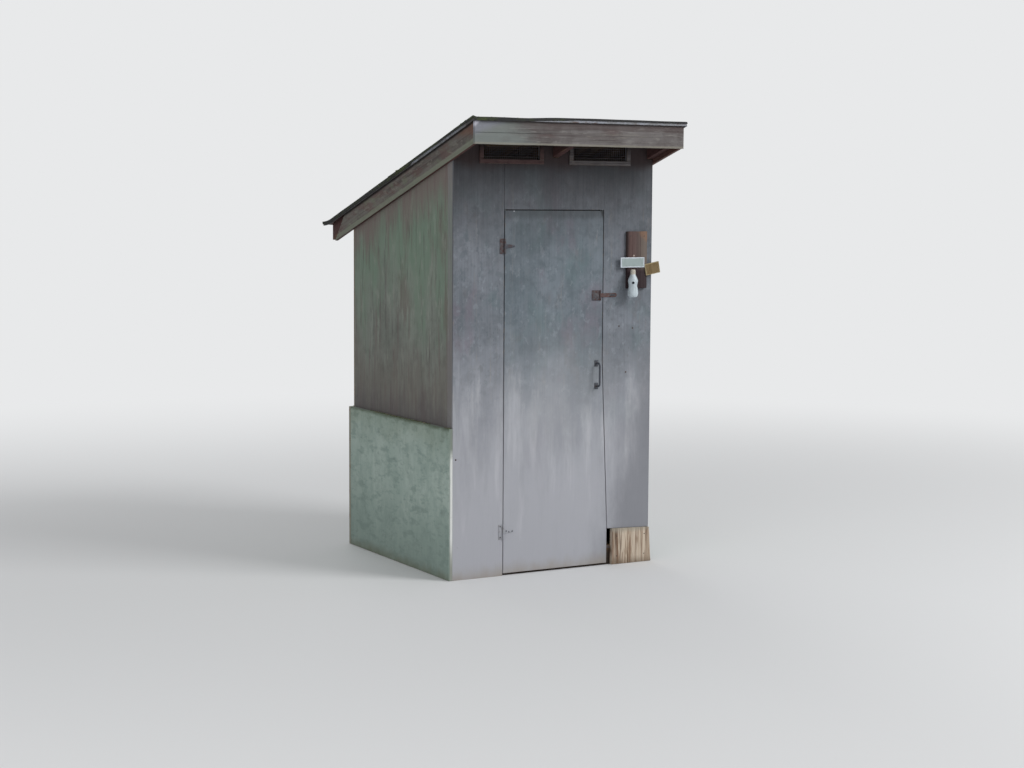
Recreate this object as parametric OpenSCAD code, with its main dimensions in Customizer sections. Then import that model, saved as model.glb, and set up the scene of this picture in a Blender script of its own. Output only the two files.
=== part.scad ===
// Single-slope wooden outhouse of painted plywood on a light timber frame.
// Front wall faces -Y, X runs to the right, Z is up, and the origin is the middle of the base.
// All sizes are in millimetres.

/* [Walls] */
// Width of the building across the front
house_w = 1219; // [1100:1:1500]
// Depth of the building from front face to rear face
house_d = 1219; // [1000:1:1600]
// Height of the rafters' undersides at the front face
front_h = 2206; // [2150:1:2500]
// Height of the rafters' undersides at the rear face
rear_h = 1833; // [1500:1:2000]
// Thickness of the plywood wall sheets
sheet_t = 12; // [9:0.5:18]
// Thickness of the skirt panels round the foot of the walls
skirt_t = 22; // [12:1:32]
// Height of the skirt panels
skirt_h = 798; // [500:1:1000]
// Distance of the right skirt's front end behind the front face
skirt_set_back = 40; // [20:1:80]
// Saw gap between two wall sheets
saw_gap = 1.5; // [0.5:0.1:3]

/* [Timber frame] */
// Narrow side of the framing timber
stud_t = 38; // [30:1:50]
// Wide side of the framing timber
stud_w = 89; // [70:1:100]
// Thickness of the floor sheet
floor_t = 18; // [12:1:25]
// Number of joists under the floor
joist_count = 5; // [3:2:7]
// Height of the wall girts' middle line
girt_z = 798; // [500:1:1000]
// Depth that the rafters are notched over the plates, past their undersides
notch_bite = 3; // [1:0.5:12]

/* [Roof] */
// Overhang from the front face to the back of the fascia
front_overhang = 245; // [150:1:350]
// Overhang from the rear face to the ends of the rafter tails
tail_overhang = 290; // [200:1:400]
// Overhang from the rear face to the rear edge of the deck
deck_overhang = 352; // [250:1:450]
// Overhang from the rear face to the top corner of the rake boards
rake_top_overhang = 78; // [40:1:150]
// Overhang from the rear face to the lower corner of the rake boards
rake_low_overhang = 215; // [60:1:260]
// Thickness of the fascia and the rake boards
board_t = 19; // [15:1:25]
// Depth of the fascia and the rake boards
board_h = 114; // [100:1:150]
// Thickness of the roof deck
deck_t = 9.5; // [9:0.5:20]
// Overhang of the deck past the rake boards and past the fascia
deck_lip = 10; // [4:1:20]
// Gap left between two layers of the roof
roof_seat = 0.3; // [0.2:0.1:0.8]
// Thickness of the rolled roofing
roofing_t = 3; // [2:0.5:6]
// Length of the roofing turned down at the front and at both sides
roofing_drop = 8; // [4:0.5:14]
// Length of the roofing turned down at the rear edge
roofing_turn = 12; // [10:1:40]
// Thickness of the metal drip edge
drip_t = 0.8; // [0.5:0.1:1.5]
// Width of the drip edge on the deck
drip_w = 40; // [20:1:60]
// Height of the drip edge's face below the side that lies on the deck
drip_h = 20.5; // [16:0.5:30]

/* [Vents] */
// Distance from the middle line to the inner end of each vent
vent_in = 102; // [60:1:160]
// Length of each vent
vent_w = 336; // [200:1:380]
// Distance of the vents' lower edges below the rafters' undersides at the front face
vent_drop = 17; // [11:1:26]
// Height of the vents
vent_h = 78; // [60:1:80]
// Width of the trim round the vents
vent_trim_w = 23; // [12:1:24]
// Thickness of the trim round the vents
vent_trim_t = 10; // [5:1:20]

/* [Door] */
// Height of the wall over the doorway, up to the rafters' undersides
over_door = 276; // [200:1:400]
// Width of the doorway at its top
door_w = 613; // [560:1:650]
// Distance of the doorway's left side from the middle line
door_left = 311; // [290:1:330]
// Widening of the hand-cut right side towards the foot
door_flare = 41; // [0:1:60]
// Height at which the right side starts to widen
flare_top = 1118; // [900:1:1300]
// Height at which the right side stops widening
flare_low = 190; // [120:1:198]
// Gap between the door and the wall round it
door_gap = 5; // [3:0.5:8]
// Gap between the door and the ground
door_foot = 12; // [6:1:40]
// Lap of the door over the posts and the header behind it
stop_lap = 12; // [8:1:20]
// Gap between the door's back and its stops
door_seat = 0.5; // [0.3:0.1:2]
// Thickness of the ledges on the door's back
ledge_t = 19; // [12:1:25]
// Height of each ledge
ledge_h = 89; // [60:1:120]
// Gap between the ledges' ends and the door posts
ledge_gap = 14; // [8:1:30]
// Height of the lowest ledge's middle line
ledge_low = 235; // [180:1:320]
// Distance of the highest ledge's middle line below the door's top
ledge_drop = 180; // [100:1:300]

/* [Patch at the lower right corner] */
// Height of the part cut off the right-hand sheet, over the patch board's left side
cut_h = 200; // [199:1:300]
// Fall of the sheet's cut from the patch board's left side to the wall's edge
cut_drop = 9; // [0:1:20]
// Gap between the sheet and the top of the patch board
patch_gap = 1; // [0.5:0.5:15]
// Gap between the foot of the door and the patch board, left open where the sheet rotted away
patch_side_gap = 29.5; // [5:0.5:60]
// Reach of the patch board's foot past the wall's edge
patch_flare = 13; // [0:1:20]
// Thickness of the patch board
patch_t = 22; // [15:1:30]

/* [Hinges] */
// Distance of the upper hinge's middle line below the door's top
hinge_drop = 186; // [100:1:300]
// Height of the lower hinge's middle line
hinge_low = 235; // [150:1:400]
// Height of each hinge
hinge_h = 80; // [60:1:110]
// Height of the strap at its knuckle
strap_root = 27; // [20:1:34]
// Height of the strap at its rounded end
strap_end = 16; // [10:1:20]
// Length of the strap from the pin to the middle of its rounded end
strap_l = 54; // [40:1:120]
// Width of the wall leaf from the pin to its edge
leaf_w = 28; // [20:1:40]
// Thickness of the hinge plates
leaf_t = 2.5; // [2:0.5:4]
// Radius of the knuckles
barrel_r = 5; // [4.5:0.1:7]
// Radius of the hinge pins
pin_r = 2.5; // [1.5:0.1:3]
// Distance of the pin's axis in front of the plates' seat
pin_off = 5.5; // [5.3:0.1:8]
// Gap between two knuckles
knuckle_gap = 0.5; // [0.3:0.1:1]
// Radial clearance of a pin in its knuckle
pin_fit = 0.1; // [0.05:0.01:0.1]

/* [Hasp] */
// Height of the hasp's middle line
hasp_z = 1473; // [1300:1:1600]
// Distance of the hasp's pin from the door's right side
hasp_inset = 16; // [13:1:30]
// Height of the fixed leaf
hasp_leaf_h = 55; // [45:1:70]
// Width of the fixed leaf from the pin to its edge
hasp_leaf_w = 52; // [40:1:70]
// Height of the flap
flap_h = 21; // [18:1:30]
// Length of the flap from the pin to its end
flap_l = 105; // [101:1:140]
// Thickness of the flap
flap_t = 2; // [1.5:0.1:3]
// Gap between the flap and the door
flap_seat = 0.5; // [0.3:0.1:1]
// Radius of the hasp's knuckles
hasp_barrel_r = 4; // [3.8:0.1:5]
// Radius of the hasp's pin
hasp_pin_r = 1.8; // [1.2:0.1:2]
// Distance of the hasp pin's axis in front of the door
hasp_pin_off = 4.5; // [4.4:0.1:6]
// Clearance round the staple in the flap's slot, along the flap
slot_gap = 4.5; // [4:0.5:6]
// Clearance round the staple in the flap's slot, across the flap
slot_side_gap = 3; // [2:0.5:4]
// Distance from the flap's end to the end of its slot
slot_end = 8; // [6:1:15]
// Radius of the staple's wire
staple_r = 2.5; // [2:0.1:3]
// Distance between the middles of the staple's legs
staple_w = 20; // [14:1:24]
// Height of the staple in front of the wall
staple_h = 24; // [20:1:35]

/* [Pull handle] */
// Distance of the handle from the door's right side
handle_inset = 35; // [20:1:80]
// Height of the handle's lower leg
handle_low = 985; // [900:1:1020]
// Height of the handle's upper leg
handle_high = 1108; // [1080:1:1200]
// Radius of the handle's bar
handle_r = 5; // [4:0.5:7]
// Distance of the grip's middle in front of the door
handle_off = 36; // [30:1:50]
// Radius of the handle's bends
handle_bend = 14; // [10:1:18]
// Width of the handle's feet
foot_w = 22; // [16:1:30]
// Height of the handle's feet
foot_h = 34; // [24:1:44]
// Thickness of the handle's feet
foot_t = 3; // [2:0.5:5]

/* [Signs and ornament] */
// Distance of the backboard from the right side of the wall
backboard_inset = 41.5; // [0:0.5:60]
// Width of the backboard
backboard_w = 126; // [110:1:140]
// Height of the backboard's foot
backboard_z = 1508; // [1400:1:1520]
// Height of the backboard itself
backboard_h = 307; // [250:1:350]
// Thickness of the backboard
backboard_t = 19; // [15:1:25]
// Thickness of the two small signs
sign_t = 8; // [5:1:12]
// Width of the level sign
level_sign_w = 150; // [120:1:154]
// Height of the level sign
level_sign_h = 54; // [40:1:54]
// Distance of the level sign's foot above the backboard's foot
level_sign_rise = 113; // [110:1:140]
// Length of the level sign past the backboard's left side
level_sign_past = 46; // [10:1:60]
// Width of the tilted sign
tilted_sign_w = 92; // [80:1:110]
// Height of the tilted sign
tilted_sign_h = 62; // [40:1:66]
// Gap between the level sign's right side and the tilted sign's lower left corner
tilted_sign_gap = 14; // [13:1:20]
// Distance of the tilted sign's lower left corner above the backboard's foot
tilted_sign_rise = 68; // [40:1:100]
// Tilt of the tilted sign in degrees
tilted_sign_tilt = 10.5; // [5:0.5:11]
// Gap between the level sign's foot and the bottle ornament's top
bottle_sign_gap = 10; // [4:1:30]
// Distance of the bottle's middle from the backboard's left side
bottle_in = 18; // [5:1:40]
// Height of the bottle ornament
bottle_h = 149; // [130:1:150]
// Radius of the bottle ornament's body
bottle_r = 28; // [25:1:34]
// Radius of the bottle ornament's waist
bottle_waist_r = 26; // [24:0.5:32]
// Radius of the bottle ornament's neck
bottle_neck_r = 13.5; // [10:0.5:18]
// Radius of the round hole in the bottle's front
bottle_hole_r = 7; // [4:1:9]
// Height of the round hole's middle above the bottle's foot
bottle_hole_z = 78; // [56:1:90]
// Depth of the round hole in the bottle's front
bottle_hole_d = 12; // [6:1:16]
// Turn of the round hole about the bottle's axis, away from the wall's edge, in degrees
bottle_hole_turn = 29; // [0:1:45]
// Gap between the bottle and the backboard
bottle_gap = 0.3; // [0.3:0.1:1]
// Radius of the nail that holds the bottle
nail_r = 2; // [1.5:0.1:2.5]
// Distance of the nail below the bottle's top
nail_drop = 14; // [10:1:18]

/* [Hidden] */
$fn = 64;
// Faces of the wall sheets
face_x = house_w / 2;
face_y = house_d / 2;
inner_x = face_x - sheet_t;
inner_y = face_y - sheet_t;
front_y = -face_y;
door_y = front_y - door_seat;
// Slope of the roof
slope = (front_h - rear_h) / house_d;
pitch = atan(slope);
// Levels of the floor
joist_top = stud_w;
floor_top = joist_top + floor_t;
// Ends of the roof
fascia_back = front_y - front_overhang;
fascia_front = fascia_back - board_t;
tail_end = face_y + tail_overhang;
rake_x = face_x + board_t;
deck_x = rake_x + deck_lip;
// Ends of the deck along the slope
deck_start = along(fascia_front - deck_lip);
deck_end = along(face_y + deck_overhang);
// Levels of the deck, of the drip edge's top side and of the roofing, above the rafters' undersides
deck_low = stud_w + roof_seat;
deck_top = deck_low + deck_t;
flange_low = deck_top + roof_seat;
flange_top = flange_low + drip_t;
felt_low = flange_top + roof_seat;
felt_mid = felt_low + roofing_t / 2;
felt_top = felt_low + roofing_t;
// Distances of the drip edge's face and of the roofing's turned side from the deck's edge
face_gap = roof_seat;
turn_gap = face_gap + drip_t + roof_seat;
// Height of the lower edge of the fascia
fascia_z = under_z(fascia_back) + (stud_w - board_h) / cos(pitch);
// Seats of the rafters on the two plates
front_seat = under_z(-inner_y) + notch_bite;
rear_seat = under_z(inner_y - stud_t) + notch_bite;
// Sides of the doorway and of the door
open_left = -door_left;
open_right = door_w - door_left;
door_top = front_h - over_door;
leaf_left = open_left + door_gap;
leaf_right = open_right - door_gap;
leaf_top = door_top - door_gap;
post_left = leaf_left + stop_lap;
post_right = leaf_right - stop_lap;
foot_right = leaf_right + door_flare;
// Left side of the patch board and height of the vents' lower edges
patch_left = foot_right + patch_side_gap;
vent_z = front_h - vent_drop;
// Places of the hinges, the ledges, the hasp and the handle
hinge_high = leaf_top - hinge_drop;
ledge_high = leaf_top - ledge_drop;
hasp_x = leaf_right - hasp_inset;
handle_x = leaf_right - handle_inset;
// Places of the pins
pin_x = (open_left + leaf_left) / 2;
pin_y = door_y - pin_off;
hasp_pin_y = door_y - hasp_pin_off;
// Place of the staple
slot_far = hasp_x + flap_l - slot_end;
staple_far = slot_far - slot_gap - staple_r;
staple_near = staple_far - staple_w;
slot_near = staple_near - staple_r - slot_gap;
// Places of the backboard, the signs and the bottle
backboard_x = face_x - backboard_inset - backboard_w;
level_sign_x = backboard_x - level_sign_past;
level_sign_z = backboard_z + level_sign_rise;
tilted_sign_x = level_sign_x + level_sign_w + tilted_sign_gap;
tilted_sign_z = backboard_z + tilted_sign_rise;
bottle_x = backboard_x + bottle_in;
bottle_z = level_sign_z - bottle_sign_gap - bottle_h;
nail_z = bottle_z + bottle_h - nail_drop;
backboard_y = front_y - backboard_t;
bottle_y = backboard_y - bottle_gap - bottle_r;
nail_l = bottle_gap + bottle_r;
// Extra length of a cut past the faces that it goes through
cut = 1;
// Height above every wall, for cuts that are open at the top
high = front_h + 2 * stud_w;

// Height of the rafters' undersides at depth y
function under_z(y) = front_h - (y - front_y) * slope;
// Height of the line that lies d square above the rafters' undersides
function above_z(y, d) = under_z(y) + d / cos(pitch);
// Distance along the slope, from the front face, of the rafters' tops at depth y
function along(y) = (y - front_y) / cos(pitch) - stud_w * tan(pitch);
// Height of the cut at the foot of the right-hand sheet
function cut_z(x) = cut_h - cut_drop * (x - patch_left) / (face_x - patch_left);

// Extrudes an outline drawn in X and Z from the depth y0 to y0 + t
module along_y(y0, t) {
    translate([0, y0 + t, 0]) rotate([90, 0, 0]) linear_extrude(t) children();
}

// Extrudes an outline drawn in Y and Z from the side x0 to x0 + t
module along_x(x0, t) {
    translate([x0, 0, 0]) rotate([90, 0, 90]) linear_extrude(t) children();
}

// Box given by its two corners
module box(low, top) {
    translate(low) cube(top - low);
}

// Draws its children at both sides of the middle line
module both_sides() {
    children();
    mirror([1, 0, 0]) children();
}

// Lays its children on the roof, with Y down the slope and Z square to it from the rafters' undersides
module on_slope() {
    translate([0, front_y, front_h]) rotate([-pitch, 0, 0]) children();
}

// Floor
module floor_joists() {
    pitch_y = (2 * inner_y - stud_t) / (joist_count - 1);
    color("burlywood")
    for (i = [0 : joist_count - 1])
        translate([-inner_x, -inner_y + i * pitch_y, 0])
            cube([2 * inner_x, stud_t, joist_top]);
}

module floor_sheet() {
    color("tan") box([-inner_x, -inner_y, joist_top], [inner_x, inner_y, floor_top]);
}

// Posts, plates and girts
module front_corner_posts() {
    color("burlywood") both_sides()
        box([inner_x - stud_t, -inner_y, floor_top], [inner_x, -inner_y + stud_w, front_seat - stud_w]);
}

module rear_corner_posts() {
    color("burlywood") both_sides()
        box([inner_x - stud_t, inner_y - stud_w, floor_top], [inner_x, inner_y, rear_seat - stud_w]);
}

module door_posts() {
    top = front_seat - stud_w;
    color("burlywood") {
        box([post_left - stud_t, -inner_y, floor_top], [post_left, -inner_y + stud_w, top]);
        box([post_right, -inner_y, floor_top], [post_right + stud_t, -inner_y + stud_w, top]);
    }
}

module door_header() {
    low = leaf_top - stop_lap;
    color("burlywood") box([post_left, -inner_y, low], [post_right, -inner_y + stud_t, low + stud_w]);
}

module front_plate() {
    color("burlywood")
        box([-inner_x, -inner_y, front_seat - stud_w], [inner_x, -inner_y + stud_t, front_seat]);
}

module rear_plate() {
    color("burlywood")
        box([-inner_x, inner_y - stud_t, rear_seat - stud_w], [inner_x, inner_y, rear_seat]);
}

module wall_girts() {
    post_y = inner_y - stud_w;
    post_x = inner_x - stud_t;
    low = girt_z - stud_w / 2;
    color("burlywood") {
        both_sides() box([post_x, -post_y, low], [inner_x, post_y, low + stud_w]);
        box([-post_x, inner_y - stud_t, low], [post_x, inner_y, low + stud_w]);
    }
}

// Rafters, notched over the front and the rear plate and cut plumb at both ends
module rafter_outline() {
    difference() {
        polygon([
            [fascia_back, under_z(fascia_back)], [tail_end, under_z(tail_end)],
            [tail_end, above_z(tail_end, stud_w)], [fascia_back, above_z(fascia_back, stud_w)]
        ]);
        translate([-inner_y, front_seat - stud_w]) square([stud_t, stud_w]);
        translate([inner_y - stud_t, rear_seat - stud_w]) square([stud_t, stud_w]);
    }
}

module left_rafter() {
    color("sienna") along_x(-face_x, stud_t) rafter_outline();
}

module middle_rafter() {
    color("sienna") along_x(-stud_t / 2, stud_t) rafter_outline();
}

module right_rafter() {
    color("sienna") along_x(face_x - stud_t, stud_t) rafter_outline();
}

// Outline of a sheet that closes an end wall up to the deck, between the rafters
module end_sheet_outline(low_z, top_z) {
    difference() {
        translate([-face_x, 0]) square([house_w, top_z]);
        for (x = [-face_x, -stud_t / 2, face_x - stud_t])
            translate([x, low_z]) square([stud_t, high]);
    }
}

// Outline of the doorway, with its hand-cut right side
module doorway_outline() {
    polygon([
        [open_left, -cut], [open_right + door_flare, -cut], [open_right + door_flare, flare_low],
        [open_right, flare_top], [open_right, door_top], [open_left, door_top]
    ]);
}

module vent_outline(grow) {
    both_sides() translate([vent_in - grow, vent_z - grow]) square([vent_w + 2 * grow, vent_h + 2 * grow]);
}

// Whole front sheet with its doorway, its vents and the cut at its lower right corner
module front_outline() {
    difference() {
        end_sheet_outline(under_z(-inner_y), above_z(-inner_y, stud_w));
        doorway_outline();
        vent_outline(0);
        polygon([
            [open_right, -cut], [house_w, -cut], [house_w, cut_z(house_w)], [open_right, cut_z(open_right)]
        ]);
    }
}

// Part of the front sheet between two upright lines and above a level
module front_piece(x0, x1, z0) {
    along_y(front_y, sheet_t) intersection() {
        front_outline();
        translate([x0, z0]) square([x1 - x0, high]);
    }
}

module front_wall_left() {
    color("lightslategray") front_piece(-face_x, open_left, 0);
}

module front_wall_header() {
    color("lightslategray") front_piece(open_left + saw_gap, open_right, door_top);
}

module front_wall_right() {
    color("lightslategray") front_piece(open_right, face_x, 0);
}

module side_wall_outline() {
    polygon([
        [-inner_y, 0], [inner_y, 0],
        [inner_y, under_z(inner_y) - roof_seat], [-inner_y, under_z(-inner_y) - roof_seat]
    ]);
}

module side_wall_left() {
    color("darkslategray") along_x(-face_x, sheet_t) side_wall_outline();
}

module side_wall_right() {
    color("darkslategray") along_x(inner_x, sheet_t) side_wall_outline();
}

module rear_wall() {
    color("darkslategray") along_y(inner_y, sheet_t)
        end_sheet_outline(under_z(face_y), above_z(face_y, stud_w));
}

// Skirt panels and the patch board
module skirt_left() {
    color("darkseagreen") box([-face_x - skirt_t, front_y, 0], [-face_x, face_y, skirt_h]);
}

module skirt_right() {
    color("darkseagreen") box([face_x, front_y + skirt_set_back, 0], [face_x + skirt_t, face_y, skirt_h]);
}

module skirt_rear() {
    side = face_x + skirt_t;
    color("darkseagreen") box([-side, face_y, 0], [side, face_y + skirt_t, skirt_h]);
}

module patch_board() {
    color("wheat") along_y(-inner_y - patch_t, patch_t) polygon([
        [patch_left, 0], [face_x + patch_flare, 0],
        [face_x, cut_z(face_x) - patch_gap], [patch_left, cut_z(patch_left) - patch_gap]
    ]);
}

// Roof covering
module roof_deck() {
    color("saddlebrown") on_slope() box([-deck_x, deck_start, deck_low], [deck_x, deck_end, deck_top]);
}

// Metal angle on the deck's front edge and on its side edges, with one side under the roofing
module drip_edge() {
    side = deck_x + face_gap + drip_t;
    front = deck_start - face_gap - drip_t;
    low = flange_low - drip_h;
    color("silver") on_slope() {
        box([-side, front, flange_low], [side, deck_start + drip_w, flange_top]);
        box([-side, front, low], [side, front + drip_t, flange_top]);
        both_sides() {
            box([deck_x - drip_w, front, flange_low], [side, deck_end, flange_top]);
            box([side - drip_t, front, low], [side, deck_end, flange_top]);
        }
    }
}

// Roofing over the drip edge and the deck, turned down over all four edges
module roofing() {
    side = deck_x + turn_gap + roofing_t;
    front = deck_start - turn_gap - roofing_t;
    rear = deck_end + roof_seat + roofing_t;
    bed_x = deck_x - drip_w - roof_seat;
    bed_start = deck_start + drip_w + roof_seat;
    color("dimgray") on_slope() {
        box([-side, front, felt_low], [side, rear, felt_top]);
        box([-bed_x, bed_start, flange_low], [bed_x, rear - roofing_t / 2, felt_mid]);
        box([-side, front, felt_low - roofing_drop], [side, front + roofing_t, felt_mid]);
        both_sides() box([side - roofing_t, front, felt_low - roofing_drop], [side, rear, felt_mid]);
        box([-side, rear - roofing_t, felt_low - roofing_turn], [side, rear, felt_mid]);
    }
}

// Fascia and rake boards
module front_fascia() {
    color("rosybrown") along_x(-rake_x, 2 * rake_x) polygon([
        [fascia_front, fascia_z], [fascia_back, fascia_z],
        [fascia_back, above_z(fascia_back, stud_w)], [fascia_front, above_z(fascia_front, stud_w)]
    ]);
}

module rake_outline() {
    top_end = face_y + rake_top_overhang;
    low_end = face_y + rake_low_overhang;
    polygon([
        [fascia_back, above_z(fascia_back, stud_w - board_h)],
        [low_end, above_z(low_end, stud_w - board_h)],
        [top_end, above_z(top_end, stud_w)],
        [fascia_back, above_z(fascia_back, stud_w)]
    ]);
}

module rake_board_left() {
    color("rosybrown") along_x(-rake_x, board_t) rake_outline();
}

module rake_board_right() {
    color("rosybrown") along_x(face_x, board_t) rake_outline();
}

module vent_frames() {
    color("brown") along_y(front_y - vent_trim_t, vent_trim_t) difference() {
        vent_outline(vent_trim_w);
        vent_outline(0);
    }
}

// Door
module door_panel() {
    color("slategray") along_y(door_y, sheet_t) polygon([
        [leaf_left, door_foot], [foot_right, door_foot], [foot_right, flare_low],
        [leaf_right, flare_top], [leaf_right, leaf_top], [leaf_left, leaf_top]
    ]);
}

module door_ledges() {
    back = door_y + sheet_t;
    middle = (ledge_low + ledge_high) / 2;
    color("burlywood")
    for (z = [ledge_low, middle, ledge_high])
        box(
            [post_left + ledge_gap, back, z - ledge_h / 2],
            [post_right - ledge_gap, back + ledge_t, z + ledge_h / 2]
        );
}

// Upright knuckle round an axis, from z0 to z1
module knuckle(x, y, z0, z1, r) {
    translate([x, y, z0]) cylinder(r = r, h = z1 - z0);
}

// One hinge's wall leaf with its two knuckles and its pin
module wall_leaf(z) {
    low = z - hinge_h / 2;
    top = z + hinge_h / 2;
    gap_low = z - strap_root / 2 - knuckle_gap;
    gap_top = z + strap_root / 2 + knuckle_gap;
    relief = barrel_r + 2 * knuckle_gap;
    difference() {
        box([pin_x - leaf_w, front_y - leaf_t, low], [pin_x, front_y, top]);
        box([pin_x - relief, front_y - leaf_t - cut, gap_low], [pin_x + cut, front_y + cut, gap_top]);
    }
    knuckle(pin_x, pin_y, low, gap_low, barrel_r);
    knuckle(pin_x, pin_y, gap_top, top, barrel_r);
    knuckle(pin_x, pin_y, low, top, pin_r);
}

// One hinge's tapered strap with its knuckle
module door_strap(z) {
    difference() {
        union() {
            along_y(door_y - leaf_t, leaf_t) translate([pin_x, z]) {
                polygon([
                    [0, -strap_root / 2], [strap_l, -strap_end / 2],
                    [strap_l, strap_end / 2], [0, strap_root / 2]
                ]);
                translate([strap_l, 0]) circle(d = strap_end);
            }
            knuckle(pin_x, pin_y, z - strap_root / 2, z + strap_root / 2, barrel_r);
        }
        knuckle(pin_x, pin_y, z - strap_root, z + strap_root, pin_r + pin_fit);
    }
}

module wall_hinge_leaves() {
    color("saddlebrown") for (z = [hinge_low, hinge_high]) wall_leaf(z);
}

module door_hinge_straps() {
    color("saddlebrown") for (z = [hinge_low, hinge_high]) door_strap(z);
}

// Quarter bend of a round bar in the Y and Z plane, from the level leg to the upright grip
module bar_bend() {
    rotate([0, -90, 0]) rotate_extrude(angle = 90) translate([handle_bend, 0]) circle(r = handle_r);
}

// One leg of the handle with its foot, reaching out from the door at the origin
module handle_leg() {
    reach = handle_off - handle_bend;
    translate([-foot_w / 2, -foot_t, -foot_h / 2]) cube([foot_w, foot_t, foot_h]);
    rotate([90, 0, 0]) cylinder(r = handle_r, h = reach);
    translate([0, -reach, handle_bend]) rotate([180, 0, 0]) bar_bend();
}

module door_handle() {
    grip_low = handle_low + handle_bend;
    grip_top = handle_high - handle_bend;
    color("dimgray") {
        translate([handle_x, door_y, handle_low]) handle_leg();
        translate([handle_x, door_y, handle_high]) mirror([0, 0, 1]) handle_leg();
        translate([handle_x, door_y - handle_off, grip_low]) cylinder(r = handle_r, h = grip_top - grip_low);
    }
}

// Hasp
module hasp_leaf() {
    low = hasp_z - hasp_leaf_h / 2;
    top = hasp_z + hasp_leaf_h / 2;
    gap_low = hasp_z - flap_h / 2 - knuckle_gap;
    gap_top = hasp_z + flap_h / 2 + knuckle_gap;
    relief = hasp_barrel_r + 2 * knuckle_gap;
    color("sienna") {
        difference() {
            box([hasp_x - hasp_leaf_w, door_y - leaf_t, low], [hasp_x, door_y, top]);
            box([hasp_x - relief, door_y - leaf_t - cut, gap_low], [hasp_x + cut, door_y + cut, gap_top]);
        }
        knuckle(hasp_x, hasp_pin_y, low, gap_low, hasp_barrel_r);
        knuckle(hasp_x, hasp_pin_y, gap_top, top, hasp_barrel_r);
        knuckle(hasp_x, hasp_pin_y, low, top, hasp_pin_r);
    }
}

// Outline of the flap with its rounded end and its slot
module flap_outline() {
    end_x = flap_l - flap_h / 2;
    slot_r = staple_r + slot_side_gap;
    difference() {
        union() {
            translate([0, -flap_h / 2]) square([end_x, flap_h]);
            translate([end_x, 0]) circle(d = flap_h);
        }
        translate([slot_near - hasp_x + slot_r, -slot_r])
            square([slot_far - slot_near - 2 * slot_r, 2 * slot_r]);
        for (x = [slot_near + slot_r, slot_far - slot_r]) translate([x - hasp_x, 0]) circle(r = slot_r);
    }
}

module hasp_flap() {
    color("chocolate") difference() {
        union() {
            along_y(door_y - flap_seat - flap_t, flap_t) translate([hasp_x, hasp_z]) flap_outline();
            knuckle(hasp_x, hasp_pin_y, hasp_z - flap_h / 2, hasp_z + flap_h / 2, hasp_barrel_r);
        }
        knuckle(hasp_x, hasp_pin_y, hasp_z - flap_h, hasp_z + flap_h, hasp_pin_r + pin_fit);
    }
}

module hasp_staple() {
    crown = staple_w / 2;
    leg = staple_h - crown - staple_r;
    color("sienna") {
        for (x = [staple_near, staple_far])
            translate([x, front_y, hasp_z]) rotate([90, 0, 0]) cylinder(r = staple_r, h = leg);
        translate([staple_near + crown, front_y - leg, hasp_z]) rotate([0, 0, 180])
            rotate_extrude(angle = 180) translate([crown, 0]) circle(r = staple_r);
    }
}

// Signs and ornament
module sign_backboard() {
    color("sienna") box(
        [backboard_x, backboard_y, backboard_z],
        [backboard_x + backboard_w, front_y, backboard_z + backboard_h]
    );
}

module level_sign() {
    color("ghostwhite") along_y(backboard_y - sign_t, sign_t)
        translate([level_sign_x, level_sign_z])
            square([level_sign_w, level_sign_h]);
}

module tilted_sign() {
    color("darkgoldenrod") along_y(backboard_y - sign_t, sign_t)
        translate([tilted_sign_x, tilted_sign_z]) rotate(tilted_sign_tilt)
            square([tilted_sign_w, tilted_sign_h]);
}

// Half outline of the bottle, from its foot to the top of its neck
module bottle_outline() {
    foot_r = bottle_r - 10;
    neck_z = bottle_h - 2 * bottle_neck_r;
    polygon([
        [0, 0], [foot_r, 0], [bottle_r - 3, 7], [bottle_r, 18], [bottle_r, 30],
        [bottle_waist_r, 52], [bottle_waist_r, 70], [bottle_r - 1, 86], [bottle_r - 3, 96],
        [bottle_neck_r + 5, neck_z - 6], [bottle_neck_r, neck_z], [bottle_neck_r, bottle_h - 4],
        [bottle_neck_r - 4, bottle_h], [0, bottle_h]
    ]);
}

module bottle_ornament() {
    color("white") difference() {
        translate([bottle_x, bottle_y, bottle_z]) rotate_extrude() bottle_outline();
        translate([bottle_x, bottle_y, bottle_z + bottle_hole_z]) rotate([90, 0, -bottle_hole_turn])
            translate([0, 0, bottle_r - bottle_hole_d]) cylinder(r = bottle_hole_r, h = bottle_hole_d + cut);
        translate([bottle_x, backboard_y, nail_z])
            rotate([90, 0, 0]) cylinder(r = nail_r + pin_fit, h = nail_l + pin_fit);
    }
}

// Nail from the backboard into the middle of the bottle's neck
module ornament_nail() {
    color("dimgray") translate([bottle_x, backboard_y, nail_z])
        rotate([90, 0, 0]) cylinder(r = nail_r, h = nail_l);
}

floor_joists();
floor_sheet();
front_corner_posts();
rear_corner_posts();
door_posts();
door_header();
front_plate();
rear_plate();
wall_girts();
left_rafter();
middle_rafter();
right_rafter();
front_wall_left();
front_wall_header();
front_wall_right();
side_wall_left();
side_wall_right();
rear_wall();
skirt_left();
skirt_right();
skirt_rear();
patch_board();
roof_deck();
roofing();
drip_edge();
front_fascia();
rake_board_left();
rake_board_right();
vent_frames();
door_panel();
door_ledges();
wall_hinge_leaves();
door_hinge_straps();
door_handle();
hasp_leaf();
hasp_flap();
hasp_staple();
sign_backboard();
level_sign();
tilted_sign();
bottle_ornament();
ornament_nail();
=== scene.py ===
"""Finish of a single-slope wooden outhouse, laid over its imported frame.

Boards and sheets are eased copies of the frame's nodes under weathered paint, with nails, screws, wire
cloth and moss added. Lengths are in metres: the front faces -Y, X runs to the right and Z is up. Colours are
written in display steps of 255.
"""
import logging
import math
from dataclasses import dataclass, field
from enum import Enum
from typing import Callable, ClassVar, Iterable, Sequence, Union

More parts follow.
